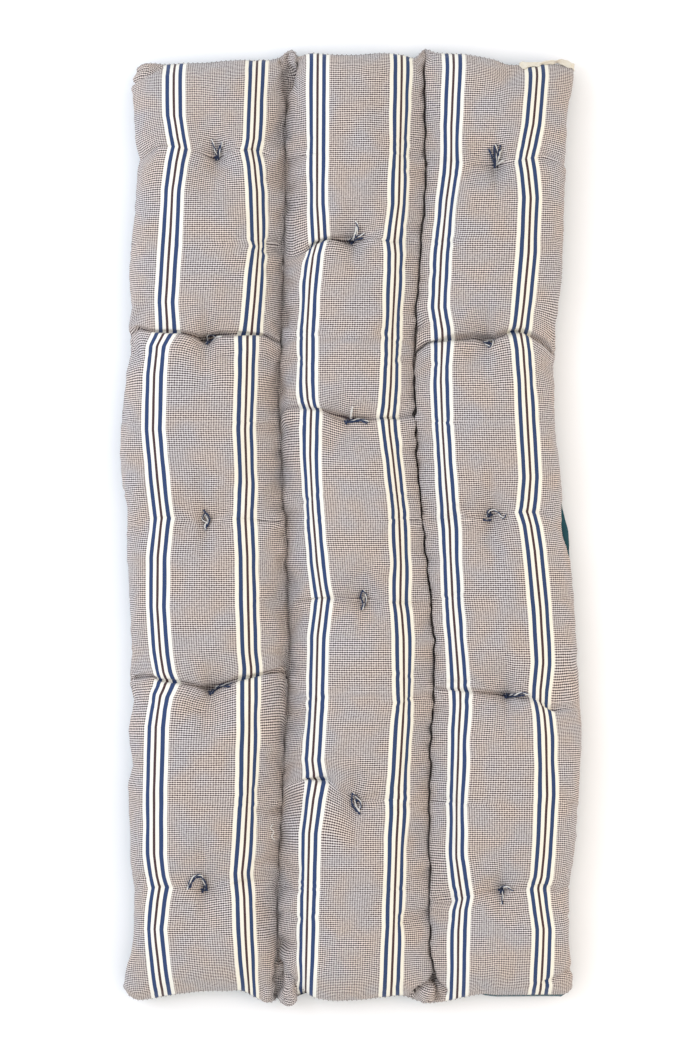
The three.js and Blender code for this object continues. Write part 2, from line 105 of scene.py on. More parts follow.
# Each tuft, and the line of the fold through it as steps across and along from the tuft. `left` and
# `right` are the depth of the fold on either side, `above` and `below` those of the creases towards the
# head and the foot, and `fading` says where along the fold its depth is another share.
TUFTS = (
    dict(channel=0, x=-253, y=700, left=0.07, right=0.06, above=0.07, below=0.09,
         fold=[(-144, -4), (-104, 17), (-68, 13), (-32, 6), (0, 0), (28, 8), (68, 13), (104, 4)]),
    dict(channel=0, x=-270, y=351, left=0.2, right=0.2, above=0, below=0.06,
         fold=[(-150, 11), (-129, 25), (-99, 17), (-53, 15), (0, 2), (15, 11), (61, 13), (106, 11),
               (136, -4)]),
    dict(channel=0, x=-274, y=14, left=0.04, right=0.04, above=0.02, below=0.03,
         fold=[(-148, -6), (-81, 4), (0, 0), (78, 2), (136, -4)]),
    dict(channel=0, x=-264, y=-312, left=0.17, right=0.17, above=0, below=0.05,
         fold=[(-150, 27), (-104, 30), (-91, 23), (-59, 19), (0, 4), (55, 25), (112, 38),
               (131, 42)]),
    dict(channel=0, x=-278, y=-685, left=0.05, right=0.05, above=0.02, below=0.02,
         fold=[(-133, -2), (-81, 9), (0, 2), (74, 17), (136, 17)]),
    dict(channel=1, x=3, y=541, left=0.16, right=0.07, above=0.03, below=0.08,
         fading=[(-125, 0.1), (-92, 0.35), (-76, 1)],
         fold=[(-129, -32), (-110, -30), (-87, -19), (-72, -8), (-45, 2), (0, 0), (44, 4),
               (80, -2), (125, 4)]),
    dict(channel=1, x=-7, y=200, left=0.13, right=0.12, above=0, below=0.06,
         fold=[(-133, 13), (-121, 27), (-89, 27), (-47, 21), (0, 4), (63, 4), (97, 6), (131, 15)]),
    dict(channel=1, x=24, y=-137, left=0.06, right=0.06, above=0.03, below=0.04,
         fold=[(-142, -4), (-78, 4), (0, 0), (70, -6), (127, -8)]),
    dict(channel=1, x=12, y=-516, left=0.13, right=0.04, above=0.02, below=0.03,
         fading=[(-131, 0.3), (-104, 0.5), (-94, 1.2), (-60, 1.2), (-46, 0.1), (0, 0.15), (9, 1)],
         fold=[(-131, 30), (-97, 40), (-59, 38), (0, 0), (44, 0), (78, 4), (135, 0)]),
    dict(channel=2, x=274, y=685, left=0.05, right=0.06, above=0.03, below=0.1,
         fold=[(-123, 11), (-83, 6), (-38, 0), (0, 0), (59, 8), (85, 11), (131, -2)]),
    dict(channel=2, x=261, y=348, left=0.22, right=0.22, above=0.05, below=0.07,
         fold=[(-136, -40), (-110, -2), (-72, 6), (-27, 9), (0, 4), (42, 17), (61, 19), (80, 11),
               (102, -2), (127, -25)]),
    dict(channel=2, x=264, y=24, left=0.06, right=0.06, above=0.03, below=0.05,
         fold=[(-125, -13), (-80, -4), (0, 0), (68, 6), (133, -2)]),
    dict(channel=2, x=295, y=-319, left=0.13, right=0.12, above=0.02, below=0.03,
         fading=[(0, 1), (40, 0.9), (56, 0.5), (84, 1.1), (102, 0.6), (136, 0.4)],
         fold=[(-133, 15), (-89, 11), (-45, 6), (0, 0), (40, -3), (60, -11), (84, -24), (136, -20)]),
    dict(channel=2, x=285, y=-687, left=0.1, right=0.09, above=0.03, below=0.04,
         fold=[(-136, -25), (-97, -17), (-74, -11), (-40, -2), (0, 2), (36, 6), (74, 11),
               (97, 4), (127, 8)]),
)
DIMPLE_DEPTH, DIMPLE_ACROSS, DIMPLE_ALONG = 0.3, 30, 24
TROUGH_DEPTH, TROUGH_ALONG = 0.1, 58
FOLD_HEAD_SIDE, FOLD_FOOT_SIDE, FOLD_FADE, FOLD_LENGTH = 15, 7, 0.3, 140
FOLD_LEAN_REACH = 90
CREASE_WIDTH, CREASE_LENGTH = 7, 75
SIDE_PULL = 0.22


def bell(distance, width):
    return np.exp(-distance ** 2 / (2 * width ** 2))


def quarter_round(share):
    return np.sqrt(1 - (1 - np.clip(share, 0, 1)) ** 2)


def smooth_step(share):
    share = np.clip(share, 0, 1)
    return share * share * (3 - 2 * share)


def mix(low, high, share):
    return low + (high - low) * share


def smooth_curve(table, at):
    """The columns of a table that starts with y, on a smooth curve through its rows."""
    places, values = table[:, 0], table[:, 1:]
    slopes = np.gradient(values, places, axis=0)
    at = np.clip(at, places[0], places[-1])
    low = np.clip(np.searchsorted(places, at, side="right") - 1, 0, len(places) - 2)
    span = (places[low + 1] - places[low])[..., None]
    t = (at - places[low])[..., None] / span
    rise = t * t * (3 - 2 * t)
    start, end = t * (1 - t) ** 2, -t * t * (1 - t)
    return mix(values[low], values[low + 1], rise) + span * (start * slopes[low] + end * slopes[low + 1])


def outline_at(y):
    return smooth_curve(OUTLINE, y)


def end_seam(x, is_head):
    """How far along and how high the end seam passes at x."""
    lines = outline_at(np.array(OUTLINE[-1 if is_head else 0, 0]))
    across = np.interp(SEAM_HEIGHTS[:, 0], range(4), lines) + SEAM_HEIGHTS[:, 1]
    along = smooth_curve(ENDS, x)[..., 0 if is_head else 1]
    return along, np.interp(x, across, SEAM_HEIGHTS[:, 2])


def fold_line(tuft, x):
    """How far along from its tuft a fold passes at x."""
    steps = np.array(tuft["fold"], float)
    return np.interp(x - tuft["x"], steps[:, 0], steps[:, 1])


def fold_depth(tuft, across):
    """How deep the fold through a tuft is, as a share of the height of the cover."""
    side = np.where(across < 0, tuft["left"], tuft["right"])
    places, shares = zip(*tuft.get("fading", [(0, 1)]))
    faded = FOLD_FADE * np.clip(abs(across) / FOLD_LENGTH, 0, 1)
    return side * np.interp(across, places, shares) * (1 - faded)


def crease_depth(tuft, across, along):
    """How deep the crease that runs along the channel from a tuft is, as the same share."""
    depth = np.where(along > 0, tuft["above"], tuft["below"])
    return depth * np.exp(-abs(across) / CREASE_WIDTH) * np.clip(1 - abs(along) / CREASE_LENGTH, 0, 1)


def lean_at(channel, x, y):
    """How far the threads near a tuft lean, so that they run along its fold."""
    total = 0
    for tuft in (t for t in TUFTS if t["channel"] == channel):
        near = np.clip(1 - abs(y - tuft["y"]) / FOLD_LEAN_REACH, 0, 1)
        total = total + fold_line(tuft, x) * near
    return total


def press_at(channel, x, y):
    """The share of its height that the cover loses to the tufts of its channel."""
    press = 0
    for tuft in (t for t in TUFTS if t["channel"] == channel):
        across, along = x - tuft["x"], y - tuft["y"]
        past_fold = along - fold_line(tuft, x)
        width = np.where(past_fold > 0, FOLD_HEAD_SIDE, FOLD_FOOT_SIDE)
        press += DIMPLE_DEPTH * bell(across, DIMPLE_ACROSS) * bell(along, DIMPLE_ALONG)
        press += TROUGH_DEPTH * bell(along, TROUGH_ALONG)
        press += fold_depth(tuft, across) * np.exp(-abs(past_fold) / width)
        press += crease_depth(tuft, across, along)
    return press


ROWS, STEPS_PER_CHANNEL = 201, 36
FINE_STEP, WIDE_STEP, TUFT_NEARNESS = 5, 12, 34
END_STEP = 0.12


def row_places():
    """Rows of the cover from foot to head, close together at the ends and near each tuft."""
    fine = np.linspace(-HALF_LENGTH, HALF_LENGTH, 20001)
    near = sum(bell(fine - y, TUFT_NEARNESS) for y in {t["y"] for t in TUFTS})
    step = mix(WIDE_STEP, FINE_STEP, np.clip(near, 0, 1))
    reach = HALF_LENGTH - abs(fine)
    step = step * mix(END_STEP, 1, quarter_round((reach + 1) / END_REACH))
    ahead = np.concatenate([[0], np.cumsum(1 / step[1:])])
    places = np.interp(np.linspace(0, ahead[-1], ROWS), ahead, fine)
    for y in {t["y"] for t in TUFTS}:
        places[np.argmin(abs(places - y))] = y
    return places


def cover_form():
    """The filled form of the cover as a grid of points: rows from foot to head, left to right."""
    y_row = row_places()[:, None]
    reach = HALF_LENGTH - abs(y_row)
    rise = quarter_round(reach / END_REACH)
    is_head = y_row > 0
    parts = []
    for channel in range(3):
        share = np.linspace(-1, 1, STEPS_PER_CHANNEL + 1)[None, :]
        if channel:
            share = share[:, 1:]
        outer = ((channel == 0) & (share < 0)) | ((channel == 2) & (share > 0))
        turn = share * (math.pi / 2 + np.where(outer, SIDE_TURN * rise, 0))
        height = np.cos(share * (math.pi / 2 + np.where(outer, SIDE_TURN, 0)))
        across = (np.sin(turn) + 1) / 2
        rough = outline_at(y_row)
        rough_x = mix(rough[..., channel], rough[..., channel + 1], across)
        seam_y = np.where(is_head, end_seam(rough_x, True)[0], end_seam(rough_x, False)[0])
        bent = seam_y + np.where(is_head, -1, 1) * reach
        y = mix(bent, y_row, smooth_step(reach / ROW_BLEND))
        y = y + lean_at(channel, rough_x, y_row) * (1 - abs(share) ** 8)
        lines = outline_at(y)
        low, high = lines[..., channel], lines[..., channel + 1]
        plain_x = mix(low, high, across)
        press = press_at(channel, plain_x, y)
        drawn_in = np.where(outer, 1 - press * SIDE_PULL * rise, 1)
        x = (low + high) / 2 + (high - low) / 2 * np.sin(turn) * drawn_in
        base = np.where(outer, BULGE_HEIGHT, VALLEY_HEIGHT)
        flatter = np.where(height > 0, 1 - press, 1)
        full = base + (CROWN_HEIGHTS[channel] - base) * height * flatter
        seam_z = np.where(is_head, end_seam(x, True)[1], end_seam(x, False)[1])
        parts.append(np.stack([x, y, mix(seam_z, full, rise)], -1))
    return np.concatenate(parts, 1)


# Where the middle of each pair of stripes lies on its channel, one row for each place along it
STRIPES = (
    np.array([
        # y, left stripe, right stripe
        (-875, -356, -192), (-755, -368, -198), (-710, -363, -200), (-685, -359, -203),
        (-660, -364, -204), (-615, -369, -200), (-498, -369, -193), (-382, -366, -190),
        (-337, -358, -190), (-314, -346, -190), (-310, -346, -187), (-285, -352, -187),
        (-242, -357, -190), (-149, -363, -192), (-56, -362, -194), (14, -355, -198),
        (84, -362, -195), (183, -371, -198), (282, -369, -195), (327, -364, -194),
        (348, -350, -194), (353, -345, -187), (377, -345, -185), (422, -347, -181),
        (526, -340, -173), (630, -334, -176), (675, -327, -181), (700, -321, -186),
        (725, -325, -182), (770, -331, -180), (860, -333, -177),
    ], float),
    np.array([
        (-875, -85, 77), (-586, -78, 87), (-541, -70, 90), (-519, -64, 90), (-513, -69, 91),
        (-491, -69, 91), (-446, -72, 94), (-326, -65, 101), (-207, -62, 100), (-162, -56, 97),
        (-137, -53, 94), (-112, -57, 94), (-67, -63, 95), (32, -71, 91), (130, -76, 80),
        (175, -75, 74), (197, -74, 72), (203, -77, 70), (225, -81, 73), (270, -83, 76),
        (370, -82, 79), (471, -76, 84), (516, -71, 85), (538, -64, 83), (544, -59, 83),
        (566, -60, 85), (611, -63, 91), (860, -62, 97),
    ], float),
    np.array([
        (-875, 202, 359), (-757, 203, 363), (-712, 206, 356), (-690, 211, 353), (-662, 206, 359),
        (-617, 199, 363), (-503, 200, 369), (-389, 204, 367), (-344, 207, 364), (-322, 207, 361),
        (-316, 204, 357), (-294, 204, 357), (-249, 201, 362), (-148, 193, 356), (-46, 188, 346),
        (-1, 187, 339), (24, 185, 332), (49, 183, 335), (94, 179, 338), (185, 173, 333),
        (276, 170, 328), (321, 172, 325), (345, 173, 320), (351, 174, 319), (371, 173, 321),
        (416, 166, 325), (516, 171, 334), (615, 181, 338), (660, 188, 334), (685, 190, 330),
        (710, 190, 335), (755, 190, 343), (860, 195, 352),
    ], float),
)
STRIPE_REPEAT = 159.2
# No stripe comes nearer to a seam or a valley than a ninth of its channel
STRIPES_FREE = 9


def flat_cloth(grid, y_rows):
    """Where each point lies on the flat cloth, in mm: across from the first valley, and along."""
    flat = np.zeros(grid.shape[:2] + (2,))
    count = (grid.shape[1] - 1) // 3
    for channel, stripes in enumerate(STRIPES):
        here = slice(channel * count, channel * count + count + 1)
        part = grid[:, here]
        steps = np.linalg.norm(np.diff(part, axis=1), axis=2)
        arc = np.concatenate([np.zeros((len(part), 1)), np.cumsum(steps, 1)], 1)
        inner = slice(count // STRIPES_FREE, count - count // STRIPES_FREE)
        for row, y in enumerate(y_rows):
            wanted = [np.interp(y, stripes[:, 0], stripes[:, side]) for side in (1, 2)]
            across = np.maximum.accumulate(part[row, inner, 0])
            at = np.interp(wanted, across, arc[row, inner])
            away = np.array([-0.5, 0.5]) * STRIPE_REPEAT - at
            flat[row, here, 0] = arc[row] + np.interp(arc[row], at, away) + 2 * channel * STRIPE_REPEAT
    along = np.linalg.norm(np.diff(grid, axis=0), axis=2).mean(1)
    flat[..., 1] = np.concatenate([[0], np.cumsum(along)])[:, None]
    return flat


def linked(name, data):
    """A new object of the scene with the given data."""
    made = bpy.data.objects.new(name, data)
    bpy.context.scene.collection.objects.link(made)
    return made


def mesh_object(name, points, faces, material=None):
    """An object whose points are given in mm."""
    mesh = bpy.data.meshes.new(name)
    mesh.from_pydata((np.asarray(points).reshape(-1, 3) * MM).tolist(), [], faces)
    if material:
        mesh.materials.append(material)
    return linked(name, mesh)


def grid_faces(rows, columns, first=0):
    at = first + np.arange(rows * columns).reshape(rows, columns)
    return np.stack([at[:-1, :-1], at[:-1, 1:], at[1:, 1:], at[1:, :-1]], -1).reshape(-1, 4).tolist()


def points_of(mesh):
    found = np.zeros(len(mesh.vertices) * 3)
    mesh.vertices.foreach_get("co", found)
    return found.reshape(-1, 3) / MM


FILLING_FRAMES, FILLING_PRESSURE, SPARE_CLOTH = 24, 4, 0.012
FURTHEST_MOVE = 9
TUFT_HOLD, FOLD_HOLD, FOLD_HOLD_REACH = 8, 3, 6


def fill_out(grid, y_rows):
    """Presses the cover outwards from inside, held at its seams, valleys and tufts."""
    rows, columns = grid.shape[:2]
    cloth = mesh_object("cover_cloth", grid, grid_faces(rows, columns))
    hold = np.zeros((rows, columns))
    for channel in range(3):
        here = slice(channel * STEPS_PER_CHANNEL, (channel + 1) * STEPS_PER_CHANNEL + 1)
        for tuft in (t for t in TUFTS if t["channel"] == channel):
            part = grid[:, here]
            off = np.hypot(part[..., 0] - tuft["x"], part[..., 1] - tuft["y"])
            hold[:, here] = np.maximum(hold[:, here], off < TUFT_HOLD)
            depth = np.where(part[..., 0] < tuft["x"], tuft["left"], tuft["right"])
            on_fold = np.exp(-abs(y_rows[:, None] - tuft["y"]) / FOLD_HOLD_REACH) * depth * FOLD_HOLD
            hold[:, here] = np.maximum(hold[:, here], on_fold)
    hold[[0, -1]] = 1
    hold[:, ::STEPS_PER_CHANNEL] = 1
    group = cloth.vertex_groups.new(name="hold")
    for index, weight in enumerate(hold.ravel()):
        if weight > 0.01:
            group.add([index], min(float(weight), 1), "REPLACE")
    filling = cloth.modifiers.new("filling", "CLOTH")
    settings = filling.settings
    settings.quality = 6
    settings.mass = 0.3
    settings.tension_stiffness = settings.compression_stiffness = 25
    settings.shear_stiffness = 8
    settings.bending_stiffness = 0.4
    settings.vertex_group_mass = group.name
    settings.pin_stiffness = 1
    settings.shrink_min = -SPARE_CLOTH
    settings.use_pressure = True
    settings.uniform_pressure_force = FILLING_PRESSURE
    settings.effector_weights.gravity = 0
    filling.collision_settings.use_collision = False
    filling.point_cache.frame_end = FILLING_FRAMES
    scene = bpy.context.scene
    for number in range(1, FILLING_FRAMES + 1):
        scene.frame_set(number)
    result = cloth.evaluated_get(bpy.context.evaluated_depsgraph_get()).to_mesh()
    moved = points_of(result).reshape(grid.shape) - grid
    bpy.data.objects.remove(cloth)
    scene.frame_set(1)
    size = np.linalg.norm(moved, axis=2, keepdims=True)
    return grid + moved * np.minimum(1, FURTHEST_MOVE / np.maximum(size, 1e-6))


def finer(grid):
    """Twice as many rows and columns, on a smooth curve through the points."""
    for axis in (0, 1):
        line = np.moveaxis(grid, axis, 0)
        padded = np.concatenate([2 * line[:1] - line[1:2], line, 2 * line[-1:] - line[-2:-1]])
        middle = (9 * (padded[1:-2] + padded[2:-1]) - padded[:-3] - padded[3:]) / 16
        longer = np.zeros((2 * len(line) - 1,) + line.shape[1:])
        longer[::2], longer[1::2] = line, middle
        grid = np.moveaxis(longer, 0, axis)
    return grid


def outwards(grid):
    """The direction out of the cover at each point of its grid."""
    along, across = np.gradient(grid, axis=0), np.gradient(grid, axis=1)
    normal = np.cross(across, along)
    return normal / np.maximum(np.linalg.norm(normal, axis=2, keepdims=True), 1e-9)


y_rows = row_places()
form = cover_form()
flat = flat_cloth(form, y_rows)
form = fill_out(form, y_rows)
cover = finer(form)
flat = finer(flat)
fine_rows = finer(np.stack([y_rows, y_rows], 1))[:, 0]

FINE = 2 * STEPS_PER_CHANNEL
columns = cover.shape[1]
numbers = np.arange(columns)
reach = HALF_LENGTH - abs(fine_rows)[:, None]


def push_out(cover, distance):
    return cover + outwards(cover) * distance[..., None]


def uneven(places, spacing, seed):
    """A smooth random line from about -1 to 1 with one turn every `spacing`."""
    knots = np.random.default_rng(seed).uniform(-1, 1, int(np.ptp(places) / spacing) + 4)
    t = (places - places.min()) / spacing
    low = t.astype(int)
    return mix(knots[low], knots[low + 1], smooth_step(t - low))


# The wadding inside is uneven, which shows as very low lumps
LUMPS, LUMP_HEIGHT, LUMP_SIZES, LUMP_FADE = 26, 0.45, (45, 130), 40
rng = np.random.default_rng(73)
lumps = np.zeros(cover.shape[:2])
for number in range(LUMPS):
    heading, size = rng.uniform(0, math.pi), rng.uniform(*LUMP_SIZES)
    start = rng.uniform(0, 2 * math.pi)
    travelled = cover[..., 0] * math.cos(heading) + cover[..., 1] * math.sin(heading)
    lumps += np.sin(travelled * 2 * math.pi / size + start)
cover = push_out(cover, lumps * LUMP_HEIGHT * np.clip(reach / LUMP_FADE, 0, 1))

# Each fold is a sharp groove. The cloth of its foot side swells over it, and the crease of a tuft runs
# along the channel from the knot.
GROOVE_DEPTH, GROOVE_HEAD_SIDE, GROOVE_FOOT_SIDE = 52, 5.5, 2.4
SLIT_DEPTH, SLIT_WIDTH = 340, 1.3
CLEAR_FOLD = 0.13
SWELL_HEIGHT, SWELL_AWAY, SWELL_WIDTH = 22, 13, 8
LAP, LAP_REACH = 27, 6
KNOT_DEPTH, KNOT_REACH = 5, 9
sink, lap = np.zeros(cover.shape[:2]), np.zeros(cover.shape[:2])
for tuft in TUFTS:
    here = (numbers > tuft["channel"] * FINE) & (numbers < (tuft["channel"] + 1) * FINE)
    past = fine_rows[:, None] - tuft["y"]
    across = cover[..., 0] - tuft["x"]
    depth = fold_depth(tuft, across)
    depth = depth * smooth_step(depth / CLEAR_FOLD)
    width = np.where(past > 0, GROOVE_HEAD_SIDE, GROOVE_FOOT_SIDE)
    sink += here * depth * GROOVE_DEPTH * np.exp(-abs(past) / width)
    sink += here * depth ** 2 * SLIT_DEPTH * np.exp(-abs(past) / SLIT_WIDTH)
    sink -= here * depth * SWELL_HEIGHT * bell(past + SWELL_AWAY, SWELL_WIDTH)
    sink += here * crease_depth(tuft, across, past) * GROOVE_DEPTH
    sink += here * KNOT_DEPTH * np.exp(-np.hypot(across, past) / KNOT_REACH)
    lap += here * depth * LAP * np.exp(-abs(past) / LAP_REACH) * (past < 0)
cover = push_out(cover, -sink)
cover[..., 1] += lap

# Small creases run in from the sides and gather the cloth at the ends of the valleys
CREASES = (
    dict(depth=4, width=5, path=[(357, 698), (412, 684)]),
    dict(depth=3, width=5, path=[(374, 628), (410, 620)]),
    dict(depth=3, width=5, path=[(380, -683), (414, -679)]),
    dict(depth=4, width=5, path=[(386, -744), (414, -733)]),
    dict(depth=9, width=3.5, path=[(362, -860), (385, -850), (420, -833)]),
    dict(depth=4, width=5, path=[(99, -746), (128, -736), (149, -710)]),
    dict(depth=3, width=6, path=[(-1, -757), (56, -753), (98, -748)]),
    dict(depth=3, width=5, path=[(149, -712), (189, -704)]),
    dict(depth=4, width=5, path=[(-414, -304), (-365, -298)]),
    dict(depth=3, width=5, path=[(-414, -350), (-384, -336)]),
    dict(depth=3, width=5, path=[(-416, -453), (-395, -441)]),
    dict(depth=3, width=5, path=[(-414, 328), (-389, 346)]),
    dict(depth=6, width=4, path=[(-440, 80), (-424, 68), (-404, 62)]),
    dict(depth=4, width=5, path=[(-426, -10), (-400, 2), (-376, -4)]),
    dict(depth=10, width=3.5, path=[(-416, 838), (-395, 848), (-372, 862), (-360, 876)]),
    dict(depth=4, width=3, path=[(-404, 866), (-384, 866), (-372, 878)]),
    dict(depth=12, width=3.5, path=[(-134, 892), (-125, 873), (-119, 850)]),
    dict(depth=12, width=3.5, path=[(-97, 896), (-104, 876), (-115, 850), (-122, 826)]),
    dict(depth=16, width=4, path=[(-137, -830), (-138, -862), (-141, -903)]),
    dict(depth=17, width=4, path=[(-122, -846), (-104, -864), (-97, -884)]),
    dict(depth=5, width=3.5, path=[(-138, -868), (-124, -872), (-112, -866)]),
    dict(depth=5, width=3.5, path=[(-166, -872), (-172, -896)]),
    dict(depth=4, width=3, path=[(-152, -880), (-154, -900)]),
    dict(depth=27, width=4.5, path=[(118, -890), (129, -874), (146, -861), (160, -850)]),
    dict(depth=20, width=4, path=[(160, -850), (168, -864), (179, -880)]),
    dict(depth=6, width=3, path=[(131, -898), (139, -876)]),
    dict(depth=6, width=3, path=[(143, -902), (147, -872)]),
    dict(depth=6, width=3, path=[(156, -900), (156, -870)]),
)
KNOBS = (
    dict(x=-120, y=-888, size=13, out=13),
    dict(x=-160, y=-890, size=11, out=7),
    dict(x=147, y=-884, size=14, out=16),
    dict(x=-115, y=893, size=9, out=10),
    dict(x=146, y=894, size=8, out=5),
    dict(x=-390, y=868, size=12, out=6),
    dict(x=-412, y=-878, size=16, out=4),
)


def distance_to(path, x, y):
    """How far each place lies from a line of straight steps, seen from above."""
    nearest = np.full(x.shape, 1e6)
    for (x1, y1), (x2, y2) in zip(path, path[1:]):
        run, rise = x2 - x1, y2 - y1
        t = np.clip(((x - x1) * run + (y - y1) * rise) / (run ** 2 + rise ** 2), 0, 1)
        nearest = np.minimum(nearest, np.hypot(x - x1 - t * run, y - y1 - t * rise))
    return nearest


CREASE_FADE = 5
sink = np.zeros(cover.shape[:2])
for crease in CREASES:
    away = distance_to(crease["path"], cover[..., 0], cover[..., 1])
    sink += crease["depth"] * np.exp(-away / crease["width"])
for knob in KNOBS:
    away = np.hypot(cover[..., 0] - knob["x"], cover[..., 1] - knob["y"])
    sink -= knob["out"] * bell(away, knob["size"])
cover = push_out(cover, -sink * np.clip(reach / CREASE_FADE, 0, 1))

# Small puckers stand along every seam of the cover, where its gathered edge is drawn in
PUCKER_SPACING, PUCKER_REACH, PUCKER_START, PUCKER_FADE = 17, 25, 5, 15
PUCKER_DEPTHS = ((3.2, 3.2), (7.5, 5.5), (2.6, 2.6), (3.2, 3.2))
along = flat[:, 0, 1]
puckered = np.zeros(cover.shape[:2])
for line, depths in enumerate(PUCKER_DEPTHS):
    for side, depth in zip((-1, 1), depths):
        column = line * FINE
        seam = flat[:, min(max(column + side, 0), columns - 1), 0][:, None]
        away = abs(flat[..., 0] - seam)
        here = (numbers * side >= column * side) & (abs(numbers - column) < STEPS_PER_CHANNEL)
        turns = uneven(along, PUCKER_SPACING, 10 * line + side + 1)[:, None]
        rising = np.clip(away / PUCKER_START, 0, 1)
        puckered += here * turns * np.exp(-away / PUCKER_REACH) * rising * depth
cover = push_out(cover, puckered * np.clip(reach / PUCKER_FADE, 0, 1))

# Stuffed hard, the channels press against each other along the valleys: loosely along the first, and
# along the second so tightly that only a dark slit is left, over which the third channel laps.
VALLEYS = (dict(line=1, push=1.2, scallop=2.6, lean=0, wobble=2.4, slit=1.4),
           dict(line=2, push=14, scallop=0.35, lean=-3, wobble=2.4, slit=1.8))
PRESSED_REACH, PRESSED_FADE, SCALLOP_SPACING = 27, 46, 17
PRESSED_FROM_END, ASIDE_START = 70, 20
for valley in VALLEYS:
    column = valley["line"] * FINE
    middle = cover[:, column, 0][:, None].copy()
    wobble = uneven(along, SCALLOP_SPACING, 200 + column)[:, None] * valley["wobble"]
    for side in (-1, 1):
        wall = (numbers * side > column * side) & (abs(numbers - column) < FINE - 4)
        away = abs(flat[..., 0] - flat[:, column + side, 0][:, None])
        turns = uneven(along, SCALLOP_SPACING, 100 + column + side)[:, None]
        pressed = 1 - smooth_step((away - PRESSED_REACH) / PRESSED_FADE)
        pressed = pressed * smooth_step(reach / PRESSED_FROM_END)
        offset = (cover[..., 0] - middle) * side
        closer = offset - valley["push"] * (1 + valley["scallop"] * turns) * pressed
        least = np.minimum(offset, valley["slit"])
        aside = (valley["lean"] + wobble) * pressed * smooth_step(away / ASIDE_START)
        leaned = middle + side * np.maximum(closer, least) + aside
        cover[..., 0] = np.where(wall, leaned, cover[..., 0])

# The sides, drawn out to where they stand, and the rounded corners. No point of the cover goes down into
# the cloth of the underside.
SIDE_HELD, SIDE_FADE = 50, 110
LOWEST = 19
CORNERS = (
    dict(side_x=-1, side_y=-1, x=-430, y=-899, radius=32),
    dict(side_x=1, side_y=-1, x=423, y=-888, radius=22),
    dict(side_x=-1, side_y=1, x=-412, y=877, radius=12),
    dict(side_x=1, side_y=1, x=425, y=878, radius=14),
)


def round_corners(grid):
    """Takes the points near each corner inside its round, seen from above."""
    for corner in CORNERS:
        u = 1 - (corner["x"] - grid[..., 0]) * corner["side_x"] / corner["radius"]
        v = 1 - (corner["y"] - grid[..., 1]) * corner["side_y"] / corner["radius"]
        inside = (u > 0) & (v > 0)
        u, v = np.clip(u, 0, 1.1), np.clip(v, 0, 1.1)
        grid[..., 0] -= inside * (u - u * np.sqrt(1 - v * v / 2)) * corner["radius"] * corner["side_x"]
        grid[..., 1] -= inside * (v - v * np.sqrt(1 - u * u / 2)) * corner["radius"] * corner["side_y"]


for column, side, which in ((0, -1, 0), (columns - 1, 1, 1)):
    half = slice(0, FINE + 1) if side < 0 else slice(columns - FINE - 1, columns)
    part = cover[:, half]
    widest = np.argmax(part[..., 0] * side, axis=1)
    at = np.arange(len(part))
    found = part[at, widest]
    shift = smooth_curve(SIDES, found[:, 1])[:, which] - found[:, 0]
    shift = np.convolve(np.pad(shift, 2, mode="edge"), np.ones(5) / 5, mode="valid")
    away = abs(flat[:, half, 0] - flat[:, column, 0][:, None])
    part[..., 0] += shift[:, None] * (1 - smooth_step((away - SIDE_HELD) / SIDE_FADE))
round_corners(cover)
cover[1:-1, 1:-1, 2] = np.maximum(cover[1:-1, 1:-1, 2], LOWEST)
flat = flat_cloth(cover, fine_rows)


def srgb(code):
    """The linear colour of an sRGB hex value."""
    parts = [int(code[i:i + 2], 16) / 255 for i in (1, 3, 5)]
    return tuple(c / 12.92 if c <= 0.04045 else ((c + 0.055) / 1.055) ** 2.4 for c in parts) + (1,)


def add_node(tree, kind, inputs=None, stops=(), **settings):
    """A node with its settings and links. Each input is a value, another node or an output of one, and
    `stops` are the places and colours along a colour ramp."""
    made = tree.nodes.new(kind)
    for name, value in settings.items():
        setattr(made, name, value)
    for number, (place, colour) in enumerate(stops):
        if number > 1:
            made.color_ramp.elements.new(place)
        made.color_ramp.elements[number].position = place
        made.color_ramp.elements[number].color = srgb(colour)
    for name, value in (inputs or {}).items():
        if isinstance(value, bpy.types.Node):
            value = value.outputs[0]
        if isinstance(value, bpy.types.NodeSocket):
            tree.links.new(value, made.inputs[name])
        else:
            made.inputs[name].default_value = value
    return made


def cloth_material(name, roughness, sheen):
    """A new material with its shader, for cloth: no gloss, and the soft sheen of its loose fibres."""
    material = bpy.data.materials.new(name)
    material.use_nodes = True
    shader = material.node_tree.nodes["Principled BSDF"]
    shader.inputs["Roughness"].default_value = roughness
    shader.inputs["Specular IOR Level"].default_value = 0.25
    shader.inputs["Sheen Weight"].default_value = sheen
    shader.inputs["Sheen Roughness"].default_value = 0.5
    return material, material.node_tree, shader


# Woven cotton ticking. A dark plum and an off-white thread cross in a small check about 3.8 mm wide,
# drawn a little wider so that it shows in the render. The stripes are woven in blue and cream. The left
# stripe of each pair is painted a whiter cream and the right one a warmer cream, as painted light that is
# cool from the left and warm from the right. The cloth is dull, with a fine relief of threads, thick places
# in its yarn and patches of dye.
WEFT_CHECK, WARP_CHECK, THREAD = 3.9, 4.3, 1.15
SLUB, DYE_PATCH = 3.846, 62.5
WEFT_SHOWS, WARP_SHOWS, SLUB_SHOWS = 1.0, 0.6, 0.8
STRIPE_COLOURS = (
    # how far from the middle of the stripe each colour begins
    (0, "#4B373C"), (2.3, "#F3F1EA"), (8.7, "#324670"), (16.1, "#F3F1EA"),
)
STRIPE_END, STRIPE_SPAN = 22.8, 25
ticking, tree, shader = cloth_material("striped_cotton_ticking", 0.9, 0.1)
place = add_node(tree, "ShaderNodeUVMap", uv_map="flat_cloth")
slub = add_node(tree, "ShaderNodeTexNoise", {"Vector": place, "Scale": 1 / (SLUB * MM), "Detail": 2.0})
axes = add_node(tree, "ShaderNodeSeparateXYZ", {0: place}).outputs
warp, weft = axes[0], axes[1]


